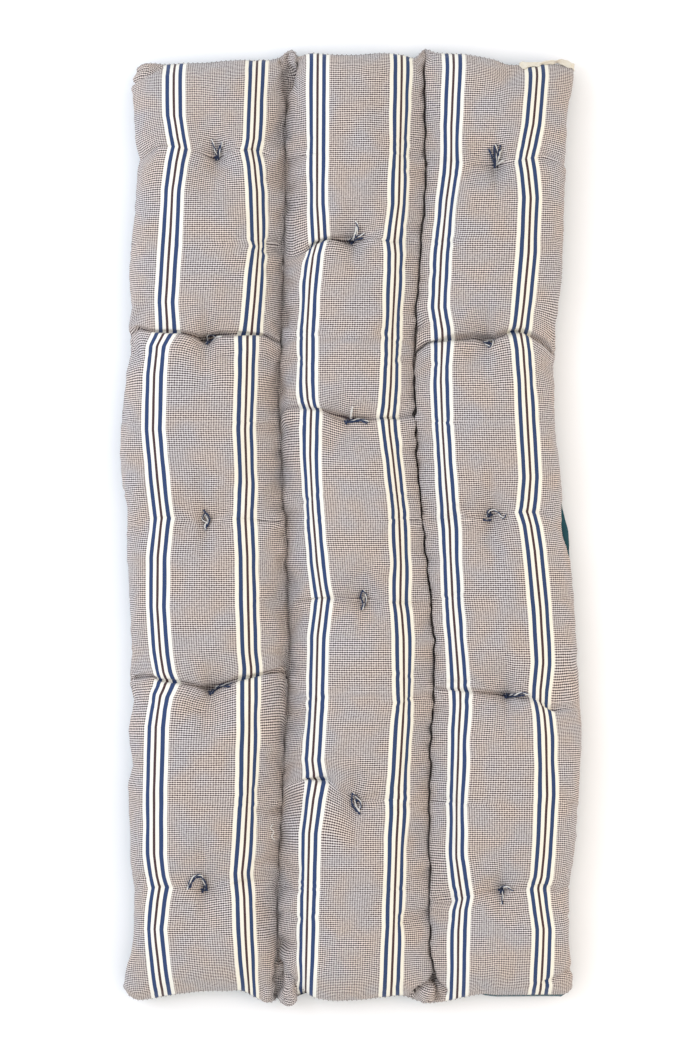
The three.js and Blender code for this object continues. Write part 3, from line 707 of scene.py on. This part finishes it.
def ripple(across, repeat, height, middle):
    """A smooth ripple with a repeat in mm, and as high as `height` about its middle value."""
    turned = add_node(tree, "ShaderNodeMath", {0: across, 1: 2 * math.pi / (repeat * MM)},
                      operation="MULTIPLY")
    swing = add_node(tree, "ShaderNodeMath", {0: turned}, operation="SINE")
    return add_node(tree, "ShaderNodeMath", {0: swing, 1: height / 2, 2: middle},
                    operation="MULTIPLY_ADD")


weft_check = ripple(weft, WEFT_CHECK, WEFT_SHOWS, 0.5 - SLUB_SHOWS / 2)
warp_check = ripple(warp, WARP_CHECK, WARP_SHOWS, 0.0)
check = add_node(tree, "ShaderNodeMath", {0: weft_check, 1: warp_check}, operation="ADD")
check = add_node(tree, "ShaderNodeMath", {0: slub, 1: SLUB_SHOWS, 2: check}, operation="MULTIPLY_ADD")
ground = add_node(tree, "ShaderNodeValToRGB", {0: check}, stops=((0.14, "#3A2B31"), (0.86, "#E6E0DA")))
dye = add_node(tree, "ShaderNodeTexNoise",
               {"Vector": place, "Scale": 1 / (DYE_PATCH * MM), "Detail": 1.0})
tint = add_node(tree, "ShaderNodeValToRGB", {0: dye}, stops=((0.35, "#F6F7FB"), (0.65, "#FFF7F1")))
ground = add_node(tree, "ShaderNodeVectorMath", {0: ground, 1: tint}, operation="MULTIPLY")

# Ten repeats more keep the place across the cloth above zero
shifted = add_node(tree, "ShaderNodeMath", {0: warp, 1: STRIPE_REPEAT * MM * 10}, operation="ADD")
inside = add_node(tree, "ShaderNodeMath", {0: shifted, 1: STRIPE_REPEAT * MM}, operation="MODULO")
off = add_node(tree, "ShaderNodeMath", {0: inside, 1: STRIPE_REPEAT * MM / 2}, operation="SUBTRACT")
off = add_node(tree, "ShaderNodeMath", {0: off}, operation="ABSOLUTE")
share = add_node(tree, "ShaderNodeMath", {0: off, 1: STRIPE_SPAN * MM}, operation="DIVIDE")
stripes = add_node(tree, "ShaderNodeValToRGB", {0: share},
                   stops=[(edge / STRIPE_SPAN, colour) for edge, colour in STRIPE_COLOURS])
stripes.color_ramp.interpolation = "CONSTANT"
# Painted light: each left stripe gets a whiter cream and each right stripe a warmer one, the tints of the
# cool light on the left flanks and the warm fill on the right flanks.
turn = add_node(tree, "ShaderNodeMath", {0: shifted, 1: STRIPE_REPEAT * MM}, operation="DIVIDE")
turn = add_node(tree, "ShaderNodeMath", {0: turn}, operation="FLOOR")
is_left = add_node(tree, "ShaderNodeMath", {0: turn, 1: 2.0}, operation="MODULO")
painted_light_creams = add_node(tree, "ShaderNodeMix", {0: is_left, 6: srgb("#FFFDF4"), 7: srgb("#FFFFFC")},
                  data_type="RGBA").outputs[2]
stripes = add_node(tree, "ShaderNodeVectorMath", {0: stripes, 1: painted_light_creams}, operation="MULTIPLY")
rib = ripple(weft, WEFT_CHECK / 2, 0.08, 0.96)
stripes = add_node(tree, "ShaderNodeVectorMath", {0: stripes, "Scale": rib}, operation="SCALE")
is_ground = add_node(tree, "ShaderNodeMath", {0: share, 1: STRIPE_END / STRIPE_SPAN},
                     operation="GREATER_THAN")
colour = add_node(tree, "ShaderNodeMix", {0: is_ground, 6: stripes, 7: ground}, data_type="RGBA")
tree.links.new(colour.outputs[2], shader.inputs["Base Color"])
crossed = {0: ripple(warp, THREAD, 1, 0.5), 1: ripple(weft, THREAD, 1, 0.5)}
threads = add_node(tree, "ShaderNodeMath", crossed, operation="MULTIPLY")
relief = add_node(tree, "ShaderNodeBump", {"Height": threads, "Strength": 0.35, "Distance": 0.0006})
tree.links.new(relief.outputs[0], shader.inputs["Normal"])

# The filled form is closed below by the stuffing that rests on the underside cloth
SEAM_HEIGHT_GAP, UNDERSIDE_GAP = 0.3, 2.3
UNDERSIDE_REACH = 45
GROOVE_HEIGHT, GROOVE_REACH = 14, 20
SIDE_DROP = ((0, 1), (13, 0.45), (24, 0.12), (44, 0))
COARSER = 4
ROLL_IN = 9
SIDE_ROLL = dict(y=-4, along=27, out=21)
FOOT_ROLL = dict(left=232, left_fade=25, right=416, right_fade=15, out=12)


def underside_form(cover, every):
    """The outer face of the underside, from seam to seam, with its rim on the rim of the cover."""
    rim_rows = cover[::every]
    left, right = rim_rows[:, :1], rim_rows[:, -1:]
    share = np.linspace(-1, 1, 2 * STEPS_PER_CHANNEL // every + 1)
    across = (np.sin(share * math.pi / 2) + 1) / 2
    y_row = fine_rows[::every][:, None]
    lines = outline_at(y_row[:, 0])
    edges = [left[..., 0], lines[:, 1:2], lines[:, 2:3], right[..., 0]]
    x = np.concatenate([mix(edges[c], edges[c + 1], across[None, 1 if c else 0:]) for c in range(3)], 1)
    in_left, in_right = x - left[..., 0], right[..., 0] - x
    drop = np.array(SIDE_DROP, float)
    side = np.interp(in_left, drop[:, 0], drop[:, 1]) * left[..., 2]
    side += np.interp(in_right, drop[:, 0], drop[:, 1]) * right[..., 2]
    for line in (1, 2):
        off = abs(x - lines[:, line:line + 1])
        side = np.maximum(side, GROOVE_HEIGHT * np.clip(1 - off / GROOVE_REACH, 0, 1))
    reach = HALF_LENGTH - abs(y_row)
    is_head = y_row > 0
    seam_y = np.where(is_head, end_seam(x, True)[0], end_seam(x, False)[0])
    seam_z = np.where(is_head, end_seam(x, True)[1], end_seam(x, False)[1])
    bent = seam_y + np.where(is_head, -1, 1) * reach
    y = mix(bent, y_row, smooth_step(reach / ROW_BLEND))
    z = mix(seam_z, side, quarter_round(reach / UNDERSIDE_REACH))
    rolled = bell(in_right - ROLL_IN, ROLL_IN) * bell(y - SIDE_ROLL["y"], SIDE_ROLL["along"])
    x = x + rolled * SIDE_ROLL["out"]
    shows = smooth_step((x - FOOT_ROLL["left"]) / FOOT_ROLL["left_fade"])
    shows = shows * smooth_step((FOOT_ROLL["right"] - x) / FOOT_ROLL["right_fade"])
    y = y - shows * (~is_head) * bell(reach - ROLL_IN, ROLL_IN) * FOOT_ROLL["out"]
    under = np.stack([x, y, z], -1)
    round_corners(under)
    under[0], under[-1] = rim_rows[0, ::every], rim_rows[-1, ::every]
    under[:, 0], under[:, -1] = left[:, 0], right[:, 0]
    return under


def inwards(under):
    """Directions into the filling, level along the rim."""
    normal = outwards(under)
    rim = np.zeros(under.shape[:2], bool)
    rim[[0, -1]] = rim[:, [0, -1]] = True
    normal[rim] = 0
    normal[:, 0, 0] += 1
    normal[:, -1, 0] -= 1
    normal[0, :, 1] += 1
    normal[-1, :, 1] -= 1
    return normal / np.linalg.norm(normal, axis=2, keepdims=True)


def rim_of(at):
    """The points around a grid, anticlockwise seen from above."""
    return np.concatenate([at[0, :-1], at[:-1, -1], at[-1, :0:-1], at[:0:-1, 0]])


under = underside_form(cover, COARSER)
stuffing = under + inwards(under) * UNDERSIDE_GAP
for grid in (cover, stuffing):
    grid[[0, -1], :, 2] += SEAM_HEIGHT_GAP
    grid[1:-1, [0, -1], 2] += SEAM_HEIGHT_GAP
rows, columns = cover.shape[:2]
faces = grid_faces(rows, columns)
first = rows * columns
under_rows, under_columns = under.shape[:2]
faces += [face[::-1] for face in grid_faces(under_rows, under_columns, first)]
top_rim = rim_of(np.arange(first).reshape(rows, columns)).tolist()
low_rim = rim_of(first + np.arange(under_rows * under_columns).reshape(under_rows, under_columns)).tolist()
for index, near in enumerate(low_rim):
    far = low_rim[(index + 1) % len(low_rim)]
    upper = [top_rim[(COARSER * index + step) % len(top_rim)] for step in range(COARSER, -1, -1)]
    faces.append([near, far] + upper)
mattress = mesh_object("mattress", np.concatenate([cover.reshape(-1, 3), stuffing.reshape(-1, 3)]),
                       faces, ticking)
flat_map = mattress.data.uv_layers.new(name="flat_cloth")
corners = np.zeros(len(mattress.data.loops), int)
mattress.data.loops.foreach_get("vertex_index", corners)
flat_points = np.concatenate([flat.reshape(-1, 2), flat[::COARSER, ::COARSER].reshape(-1, 2)]) * MM
flat_map.uv.foreach_set("vector", flat_points[corners].ravel())
mattress.data.shade_smooth()
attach(mattress, "root")
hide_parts("mattress_body")

# The underside: one panel of plain teal cotton, sewn to the cover all round. It shows as a thin line
# where it rolls out at the right side and at the foot.
CLOTH = 2


def sheet_faces(rows, columns):
    """The faces of a sheet: its first grid of points, its second one, and the rim between them."""
    count = rows * columns
    faces = grid_faces(rows, columns) + [face[::-1] for face in grid_faces(rows, columns, count)]
    first = rim_of(np.arange(count).reshape(rows, columns)).tolist()
    second = rim_of(count + np.arange(count).reshape(rows, columns)).tolist()
    for index in range(len(first)):
        after = (index + 1) % len(first)
        faces.append([first[after], first[index], second[index], second[after]])
    return faces


# Plain-woven cotton, dyed teal: dull, a little faded in places, with a fine even weave. The bands of a
# wave texture repeat after WAVE_REPEAT of its unit.
FADED_PATCH, TEAL_WEAVE = 71.43, 1.428
WAVE_REPEAT = 2 * math.pi / 20
teal, tree, shader = cloth_material("teal_plain_cotton", 0.85, 0.15)
place = add_node(tree, "ShaderNodeTexCoord").outputs["Object"]
fade = add_node(tree, "ShaderNodeTexNoise",
                {"Vector": place, "Scale": 1 / (FADED_PATCH * MM), "Detail": 4.0})
dyed = add_node(tree, "ShaderNodeValToRGB", {0: fade}, stops=((0.3, "#143B45"), (0.7, "#1F5560")))
tree.links.new(dyed.outputs[0], shader.inputs["Base Color"])
woven = {"Vector": place, "Scale": WAVE_REPEAT / (TEAL_WEAVE * MM)}
weave_x = add_node(tree, "ShaderNodeTexWave", woven)
weave_y = add_node(tree, "ShaderNodeTexWave", woven, bands_direction="Y")
crossed = add_node(tree, "ShaderNodeMath", {0: weave_x.outputs[1], 1: weave_y.outputs[1]},
                   operation="MULTIPLY")
relief = add_node(tree, "ShaderNodeBump", {"Height": crossed, "Strength": 0.3, "Distance": 0.0004})
tree.links.new(relief.outputs[0], shader.inputs["Normal"])
fine_under = underside_form(cover, 2)
fine_under[[0, -1], :, 2] -= SEAM_HEIGHT_GAP
fine_under[1:-1, [0, -1], 2] -= SEAM_HEIGHT_GAP
inner = fine_under + inwards(fine_under) * CLOTH
underside = mesh_object("underside", np.concatenate([inner.reshape(-1, 3), fine_under.reshape(-1, 3)]),
                        sheet_faces(*fine_under.shape[:2]), teal)
underside.data.shade_smooth()
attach(underside, "root")
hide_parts("underside_panel")

# Fourteen tufts of navy and white cotton yarn, drawn through the mattress and knotted on top. The
# strands have two plies twisted together, and their cut ends stand free. Two tufts lie in a flat plait.
PLY_RADIUS, TWIST_LENGTH, YARN_ABOVE, KNOT_ABOVE = 1.05, 24, 2.2, 1.0
STRAND_STEP = 1.6
KNOT = ((0, 2.6, [(-5, 1.5), (0, 0.5), (5, -1)]), (0, 3.4, [(-2, -4.5), (0, 0), (1.5, 5)]))
PLAITED = (3, 8)
TIES = (
    # For each tuft its strands: plies that are white, height of the arch, steps across and along
    [(1, 2, [(2, -4), (-3, 14), (-8, 32)]), (1, 2, [(2, -4), (7, 10), (11, 27)]),
     (0, 1, [(0, 2), (4, 12), (7, 20)])],
    [(1, 2, [(-2, -2), (0, 13), (9, 14), (15, 8), (6, 2)]), (2, 1, [(13, 8), (27, 10)])],
    [(0, 2, [(-3, 19), (3, 12), (8, 3), (5, -8), (-1, -18)]), (1, 1, [(0, 12), (-6, 4), (3, -8), (0, -19)]),
     (2, 2, [(1, 8), (5, -1), (-1, -10), (1, -18)])],
    [(1, 2, [(2, -2), (8, 8), (21, 14), (41, 18)]), (0, 3, [(0, -2), (9, 5), (22, 11), (38, 13)])],
    [(1, 3, [(4, 0), (0, 22), (-4, 32), (-14, 30), (-23, 21), (-28, 4)]),
     (0, 2, [(7, -2), (3, 19), (-4, 28), (-13, 26), (-20, 18), (-24, 6)])],
    [(1, 2, [(-8, 4), (8, 8), (23, 13)]), (1, 2, [(4, 6), (11, 20), (10, 30), (6, 36)]),
     (0, 2, [(0, 2), (12, 4), (21, 6)]), (2, 2, [(2, 4), (7, 18), (9, 27)])],
    [(1, 2, [(-2, 0), (11, 3), (30, 4), (41, -1)]), (0, 2, [(-2, -2), (12, 0), (29, 1), (38, -4)]),
     (2, 2, [(8, 6), (9, 17), (11, 28)])],
    [(0, 2, [(-1, 18), (-5, 7), (-1, -5), (-3, -19)]), (1, 2, [(0, 19), (6, 8), (4, -5), (-2, -18)]),
     (2, 1, [(2, 6), (-2, -4), (2, -13)])],
    [(0, 2, [(-8, 15), (-9, 8), (-9, -6), (6, -25)]), (1, 2, [(-8, 15), (0, 7), (8, -8), (6, -15)]),
     (2, 1, [(-4, 2), (-2, -10), (6, -20)])],
    [(0, 2, [(0, 0), (-7, 14), (-14, 28)]), (0, 3, [(0, 0), (-2, 17), (-4, 34)]),
     (1, 2, [(0, 0), (2, 18), (0, 36)]), (0, 2, [(0, 0), (5, 17), (8, 34)]),
     (2, 2, [(0, 0), (6, 13), (9, 27)]), (2, 1, [(0, 0), (8, 4), (15, 8)])],
    [(1, 2, [(-9, 4), (-4, -3), (2, -8), (7, 0), (11, 8)]), (2, 2, [(11, 8), (1, 6), (-9, 4)])],
    [(1, 3, [(-6, -4), (-2, 8), (6, 9), (15, 4), (23, -6), (30, 0)]),
     (0, 1, [(-13, -8), (-8, -11), (2, -9)])],
    [(1, 2, [(-2, 0), (15, 4), (30, 8), (42, 4)]), (0, 2, [(0, -3), (16, 0), (33, 4)])],
    [(1, 3, [(-2, 6), (6, 10), (14, 8), (21, 2)]), (1, 1, [(4, 6), (2, -8), (0, -23)])],
)
# Spun cotton yarn, one dyed navy and one undyed: dull and soft, with no shine
navy_yarn, _, shader = cloth_material("navy_cotton_yarn", 0.85, 0.2)
shader.inputs["Base Color"].default_value = srgb("#283654")
white_yarn, _, shader = cloth_material("white_cotton_yarn", 0.85, 0.2)
shader.inputs["Base Color"].default_value = srgb("#DEDDD8")
cover_tree = BVHTree.FromPolygons(cover.reshape(-1, 3).tolist(), grid_faces(*cover.shape[:2]))


def cover_height(x, y):
    hit = cover_tree.ray_cast(Vector((x, y, 300)), Vector((0, 0, -1)))[0]
    return hit.z if hit else 0.0


def laid_strand(middle, steps, above, arch):
    """Points of a strand that lies on the cover and arches a little between its ends."""
    steps = np.array(steps, float)
    lengths = np.concatenate([[0], np.cumsum(np.hypot(*np.diff(steps, axis=0).T))])
    count = int(lengths[-1] / STRAND_STEP) + 4
    line = smooth_curve(np.column_stack([lengths, steps]), np.linspace(0, lengths[-1], count))
    line = line + np.array(middle)
    ground = np.array([cover_height(x, y) for x, y in line])
    ground = np.pad(ground, 2, mode="edge")
    ground = np.max([np.roll(ground, shift)[2:-2] for shift in (-2, 0, 2)], axis=0)
    ground = np.convolve(np.pad(ground, 2, mode="edge"), np.ones(5) / 5, mode="valid")
    return np.column_stack([line, ground + above + arch * np.sin(np.linspace(0, math.pi, count))])


def line_object(name, lines):
    """An object of plain lines, given in mm."""
    points, edges = [], []
    for line in lines:
        edges += [(len(points) + step, len(points) + step + 1) for step in range(len(line) - 1)]
        points += (line * MM).tolist()
    mesh = bpy.data.meshes.new(name)
    mesh.from_pydata(points, edges, [])
    return linked(name, mesh)


def strand_lines(name, strands):
    """A line for each strand, with the number of its white plies at every point."""
    made = line_object(name, [line for plies, line in strands])
    white = [float(plies) for plies, line in strands for point in line]
    made.data.attributes.new("white", "FLOAT", "POINT").data.foreach_set("value", white)
    return made


def node_group(name, inputs):
    """An empty node group for a modifier, with its named inputs."""
    group = bpy.data.node_groups.new(name, "GeometryNodeTree")
    group.is_modifier = True
    for label, kind in inputs:
        group.interface.new_socket(label, in_out="INPUT", socket_type=kind)
    group.interface.new_socket("Made", in_out="OUTPUT", socket_type="NodeSocketGeometry")
    return group


def converted(source, group, values):
    """The object with its node group applied: a plain mesh of its own."""
    grower = source.modifiers.new(group.name, "NODES")
    grower.node_group = group
    for socket in group.interface.items_tree:
        if socket.in_out == "INPUT" and socket.name in values:
            grower[socket.identifier] = values[socket.name]
    found = bpy.context.evaluated_depsgraph_get()
    mesh = bpy.data.meshes.new_from_object(source.evaluated_get(found), depsgraph=found)
    name = source.name
    bpy.data.objects.remove(source)
    return linked(name, mesh)


twisted = node_group("twisted_yarn", [
    ("Strands", "NodeSocketGeometry"), ("Ply radius", "NodeSocketFloat"),
    ("Twist length", "NodeSocketFloat"), ("Dark yarn", "NodeSocketMaterial"),
    ("White yarn", "NodeSocketMaterial")])
given = add_node(twisted, "NodeGroupInput").outputs
strands = add_node(twisted, "GeometryNodeMeshToCurve", {"Mesh": given["Strands"]})
strands = add_node(twisted, "GeometryNodeResampleCurve", {"Curve": strands, "Length": STRAND_STEP * MM},
                   mode="LENGTH")
gone = add_node(twisted, "GeometryNodeSplineParameter").outputs["Length"]
rounds = add_node(twisted, "ShaderNodeMath", {0: gone, 1: given["Twist length"]}, operation="DIVIDE")
turned = add_node(twisted, "ShaderNodeMath", {0: rounds, 1: 2 * math.pi}, operation="MULTIPLY")
aside = add_node(twisted, "GeometryNodeInputNormal")
forwards = add_node(twisted, "GeometryNodeInputTangent")
upward = add_node(twisted, "ShaderNodeVectorMath", {0: aside, 1: forwards}, operation="CROSS_PRODUCT")
ring = add_node(twisted, "GeometryNodeCurvePrimitiveCircle",
                {"Resolution": 6, "Radius": given["Ply radius"]})
white_plies = add_node(twisted, "GeometryNodeInputNamedAttribute", {"Name": "white"}, data_type="FLOAT")
joined = add_node(twisted, "GeometryNodeJoinGeometry")
for start, dark_below in ((0.0, 1.5), (math.pi, 0.5)):
    angle = add_node(twisted, "ShaderNodeMath", {0: turned, 1: start}, operation="ADD")
    steps = []
    for heading, operation in ((aside, "COSINE"), (upward, "SINE")):
        swing = add_node(twisted, "ShaderNodeMath", {0: angle}, operation=operation)
        swing = add_node(twisted, "ShaderNodeMath", {0: swing, 1: given["Ply radius"]},
                         operation="MULTIPLY")
        steps.append(add_node(twisted, "ShaderNodeVectorMath", {0: heading, "Scale": swing},
                              operation="SCALE"))
    offset = add_node(twisted, "ShaderNodeVectorMath", {0: steps[0], 1: steps[1]}, operation="ADD")
    ply = add_node(twisted, "GeometryNodeSetPosition", {"Geometry": strands, "Offset": offset})
    ply = add_node(twisted, "GeometryNodeCurveToMesh",
                   {"Curve": ply, "Profile Curve": ring, "Fill Caps": True})
    ply = add_node(twisted, "GeometryNodeSetMaterial", {"Geometry": ply, "Material": given["Dark yarn"]})
    is_white = add_node(twisted, "ShaderNodeMath", {0: white_plies, 1: dark_below},
                        operation="GREATER_THAN")
    ply = add_node(twisted, "GeometryNodeSetMaterial",
                   {"Geometry": ply, "Selection": is_white, "Material": given["White yarn"]})
    twisted.links.new(ply.outputs[0], joined.inputs[0])
smooth = add_node(twisted, "GeometryNodeSetShadeSmooth", {"Geometry": joined})
whole = add_node(twisted, "GeometryNodeRealizeInstances", {"Geometry": smooth})
add_node(twisted, "NodeGroupOutput", {"Made": whole})
for number, (tuft, ties) in enumerate(zip(TUFTS, TIES), 1):
    middle = (tuft["x"], tuft["y"])
    strands = [(white, laid_strand(middle, steps, YARN_ABOVE, arch)) for white, arch, steps in ties]
    knot = KNOT if number not in PLAITED else ()
    strands += [(white, laid_strand(middle, steps, KNOT_ABOVE, arch)) for white, arch, steps in knot]
    lines = strand_lines("tuft_yarn_%02d" % number, strands)
    tied = converted(lines, twisted, {"Ply radius": PLY_RADIUS * MM, "Twist length": TWIST_LENGTH * MM,
                                      "Dark yarn": navy_yarn, "White yarn": white_yarn})
    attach(tied, "root")
    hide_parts("tuft_%02d" % number)

# One loose end of white cotton thread. It lies in small bends on the cover beside the first valley, and
# nothing holds it.
LOOSE_MIDDLE = (-146, -570)
LOOSE_STEPS = [(-1, 9), (-5, 2), (1, -6), (-3, -14), (3, -22)]
LOOSE_RADIUS, LOOSE_TWIST, LOOSE_ABOVE, LOOSE_ARCH = 0.45, 9, 0.9, 1.5
laid = laid_strand(LOOSE_MIDDLE, LOOSE_STEPS, LOOSE_ABOVE, LOOSE_ARCH)
lines = strand_lines("loose_thread", [(2, laid)])
loose = converted(lines, twisted, {"Ply radius": LOOSE_RADIUS * MM, "Twist length": LOOSE_TWIST * MM,
                                   "Dark yarn": navy_yarn, "White yarn": white_yarn})
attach(loose, "root")

# A plain cream cotton tape, caught in the head seam at the right corner and folded over the edge of the
# cover. It is a little crumpled.
TAPE = np.array([
    # x, far edge, near edge
    (320, 879, 872), (325, 881, 869), (334, 880, 869), (340, 878, 872), (351, 880, 874),
    (370, 885, 878), (387, 887, 881), (399, 889, 881), (410, 886, 874), (418, 883, 870), (425, 880, 868),
], float)
TAPE_THICKNESS, TAPE_ABOVE, TAPE_RISE = 1.1, 1.4, 1.5
TAPE_COLUMNS, TAPE_ROWS = 60, 9
FOLD_OVER_SEAM, FOLD_UNDER_RISE = 7, 3
CRUMPLES = ((1.5, 4.1, 0), (1.1, 2.3, 1))
CRUMPLED = dict(far=-0.5, near=0.9, rise=0.6, middle=0.4)
TAPE_RIB = 1.9635
# Ribbed cotton tape, cream: dull, with fine ribs in two creams
cream, tree, shader = cloth_material("cream_cotton_tape", 0.85, 0.15)
place = add_node(tree, "ShaderNodeTexCoord").outputs["Object"]
ribs = add_node(tree, "ShaderNodeTexWave",
                {"Vector": place, "Scale": WAVE_REPEAT / (TAPE_RIB * MM), "Distortion": 0.6}).outputs[1]
shade = add_node(tree, "ShaderNodeValToRGB", {0: ribs}, stops=((0, "#CFC7B4"), (1, "#F0EADC")))
tree.links.new(shade.outputs[0], shader.inputs["Base Color"])
relief = add_node(tree, "ShaderNodeBump", {"Height": ribs, "Strength": 0.3, "Distance": 0.0004})
tree.links.new(relief.outputs[0], shader.inputs["Normal"])
tape = np.zeros((TAPE_ROWS, TAPE_COLUMNS, 3))
for column, x in enumerate(np.linspace(TAPE[0, 0], TAPE[-1, 0], TAPE_COLUMNS)):
    far, near = smooth_curve(TAPE, np.array(x))
    crumple = sum(high * math.sin(x / length + start) for high, length, start in CRUMPLES)
    far, near = far + crumple * CRUMPLED["far"], near + crumple * CRUMPLED["near"]
    seam = cover[-1]
    seam_y, seam_z = np.interp(x, seam[:, 0], seam[:, 1]), np.interp(x, seam[:, 0], seam[:, 2])
    near_z = max(cover_height(x, near), seam_z) + TAPE_ABOVE
    middle = (near + far) / 2
    middle_z = max(cover_height(x, middle), seam_z) + TAPE_ABOVE + TAPE_RISE + crumple * CRUMPLED["rise"]
    far_z = max(seam_z + FOLD_OVER_SEAM, middle_z - FOLD_UNDER_RISE) + crumple
    knots = np.array([(0, seam_y + 1.4, seam_z + 0.5), (1, max(far, seam_y + 1.6), far_z),
                      (1.5, middle + crumple * CRUMPLED["middle"], middle_z), (2, near, near_z)])
    section = smooth_curve(knots, np.linspace(0, 2, TAPE_ROWS))
    tape[:, column, 0] = x
    tape[:, column, 1:] = section
lower = tape - outwards(tape) * TAPE_THICKNESS
ribbon = mesh_object("ribbon", np.concatenate([tape.reshape(-1, 3), lower.reshape(-1, 3)]),
                     sheet_faces(TAPE_ROWS, TAPE_COLUMNS), cream)
ribbon.data.shade_smooth()
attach(ribbon, "root")
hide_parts("label_ribbon")

# The sewing, in grey linen thread: slanting overcast stitches along the edge seam and running stitches
# along the bottom of both valleys.
EDGE_SPACING, VALLEY_SPACING, THREAD_RADIUS = 9, 11, 0.45
EDGE_STITCH, EDGE_RISE = ((-1.4, -3.2, 0.2), (1.4, 3.2, 0.2)), 1.3
VALLEY_STITCH, VALLEY_RISE, VALLEY_ABOVE = ((-3.4, 0, 0), (3.4, 0.01, 0)), 0.8, 0.4
# Linen thread: smooth for a thread, with a faint sheen
sewing_thread, _, shader = cloth_material("grey_linen_thread", 0.7, 0.1)
shader.inputs["Base Color"].default_value = srgb("#8B807C")
sewn = node_group("seam_stitches", [
    ("Seams", "NodeSocketGeometry"), ("Spacing", "NodeSocketFloat"), ("Stitch", "NodeSocketObject"),
    ("Thread", "NodeSocketMaterial")])
given = add_node(sewn, "NodeGroupInput").outputs
seams = add_node(sewn, "GeometryNodeMeshToCurve", {"Mesh": given["Seams"]})
seams = add_node(sewn, "GeometryNodeResampleCurve", {"Curve": seams, "Length": given["Spacing"]},
                 mode="LENGTH")
out = add_node(sewn, "GeometryNodeInputNamedAttribute", {"Name": "outwards"}, data_type="FLOAT_VECTOR")
along_seam = add_node(sewn, "GeometryNodeInputTangent")
facing = add_node(sewn, "FunctionNodeAlignRotationToVector", {"Vector": along_seam}, axis="X")
facing = add_node(sewn, "FunctionNodeAlignRotationToVector", {"Rotation": facing, "Vector": out},
                  axis="Z", pivot_axis="X")
one = add_node(sewn, "GeometryNodeObjectInfo", {"Object": given["Stitch"]}).outputs["Geometry"]
copies = add_node(sewn, "GeometryNodeInstanceOnPoints",
                  {"Points": seams, "Instance": one, "Rotation": facing})
whole = add_node(sewn, "GeometryNodeRealizeInstances", {"Geometry": copies})
whole = add_node(sewn, "GeometryNodeSetMaterial", {"Geometry": whole, "Material": given["Thread"]})
add_node(sewn, "NodeGroupOutput", {"Made": whole})


def stitch(name, ends, height):
    """One stitch: a thread that enters the cloth at both ends, with four sides."""
    steps = np.linspace(0, 1, 6)
    line = np.outer(1 - steps, ends[0]) + np.outer(steps, ends[1])
    line[:, 2] += height * np.sin(steps * math.pi) - THREAD_RADIUS
    run = np.array(ends[1]) - np.array(ends[0])
    side = np.array([-run[1], run[0], 0]) / np.hypot(run[0], run[1]) * THREAD_RADIUS
    top = np.array([0, 0, THREAD_RADIUS])
    points = np.stack([line + side, line + top, line - side, line - top], 1)
    faces = [[4 * r + c, 4 * r + (c + 1) % 4, 4 * r + 4 + (c + 1) % 4, 4 * r + 4 + c]
             for r in range(5) for c in range(4)]
    return mesh_object(name, points, faces + [[3, 2, 1, 0], [20, 21, 22, 23]])


def seam_lines(name, lines, directions):
    """A line for each seam, with the direction out of the cloth at every point."""
    made = line_object(name, lines)
    facing = np.concatenate(directions).ravel().tolist()
    made.data.attributes.new("outwards", "FLOAT_VECTOR", "POINT").data.foreach_set("vector", facing)
    return made


edge = seam_lines("edge_stitches", [rim_of(cover)], [rim_of(-inwards(cover))])
over = stitch("edge_stitch", EDGE_STITCH, EDGE_RISE)
edge_stitches = converted(edge, sewn, {"Spacing": EDGE_SPACING * MM, "Stitch": over,
                                       "Thread": sewing_thread})
valley_lines = [cover[4:-4, column] + np.array([0, 0, VALLEY_ABOVE]) for column in (FINE, 2 * FINE)]
upwards = [np.tile([0.0, 0.0, 1.0], (len(line), 1)) for line in valley_lines]
valleys = seam_lines("valley_stitches", valley_lines, upwards)
running = stitch("valley_stitch", VALLEY_STITCH, VALLEY_RISE)
valley_stitches = converted(valleys, sewn, {"Spacing": VALLEY_SPACING * MM, "Stitch": running,
                                            "Thread": sewing_thread})
for single in (over, running):
    bpy.data.objects.remove(single)
for sewing in (edge_stitches, valley_stitches):
    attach(sewing, "root")

# A pale studio: an even white floor and sky, a broad cool light from the left and a warm fill. The
# floor has matt white paint, so that it shows only the soft shade of the mattress.
floor_paint, _, shader = cloth_material("floor_paint", 0.9, 0.0)
shader.inputs["Base Color"].default_value = srgb("#FFFFFF")
FLOOR_HALF = 6000
floor = mesh_object("floor", [(x * FLOOR_HALF, y * FLOOR_HALF, -0.5)
                              for x, y in ((-1, -1), (1, -1), (1, 1), (-1, 1))], [[0, 1, 2, 3]],
                    floor_paint)

scene = bpy.context.scene
world = bpy.data.worlds.new("studio")
world.use_nodes = True
world.node_tree.nodes["Background"].inputs[0].default_value = (1, 1, 1, 1)
world.node_tree.nodes["Background"].inputs[1].default_value = 1.0
scene.world = world


def area_light(name, place, size, power, colour):
    light = bpy.data.lights.new(name, "AREA")
    light.shape = "RECTANGLE"
    light.size, light.size_y = size
    light.energy = power
    light.color = srgb(colour)[:3]
    lamp = linked(name, light)
    lamp.location = place
    lamp.rotation_euler = Vector(place).to_track_quat("Z", "Y").to_euler()


area_light("window", place=(-2.6, 0.7, 2.0), size=(2.2, 3.0), power=45, colour="#DCE7FF")
area_light("fill", place=(2.6, -0.5, 2.0), size=(2.2, 3.0), power=25, colour="#FFD9B0")

# The camera looks straight down. The photo is 1049 pixels high, and a pixel is 1.895 mm on the cloth.
PIXEL = 1.895
IMAGE_HEIGHT = 1049
MIDDLE = (-0.95, 5.7)
LENS, SENSOR = 85, 36
camera = bpy.data.cameras.new("camera")
camera.lens, camera.sensor_width = LENS, SENSOR
camera.clip_end = 50
viewer = linked("camera", camera)
distance = IMAGE_HEIGHT * PIXEL * LENS / SENSOR
viewer.location = (MIDDLE[0] * MM, MIDDLE[1] * MM, (distance + BULGE_HEIGHT) * MM)
scene.camera = viewer
scene.view_settings.view_transform = "Standard"
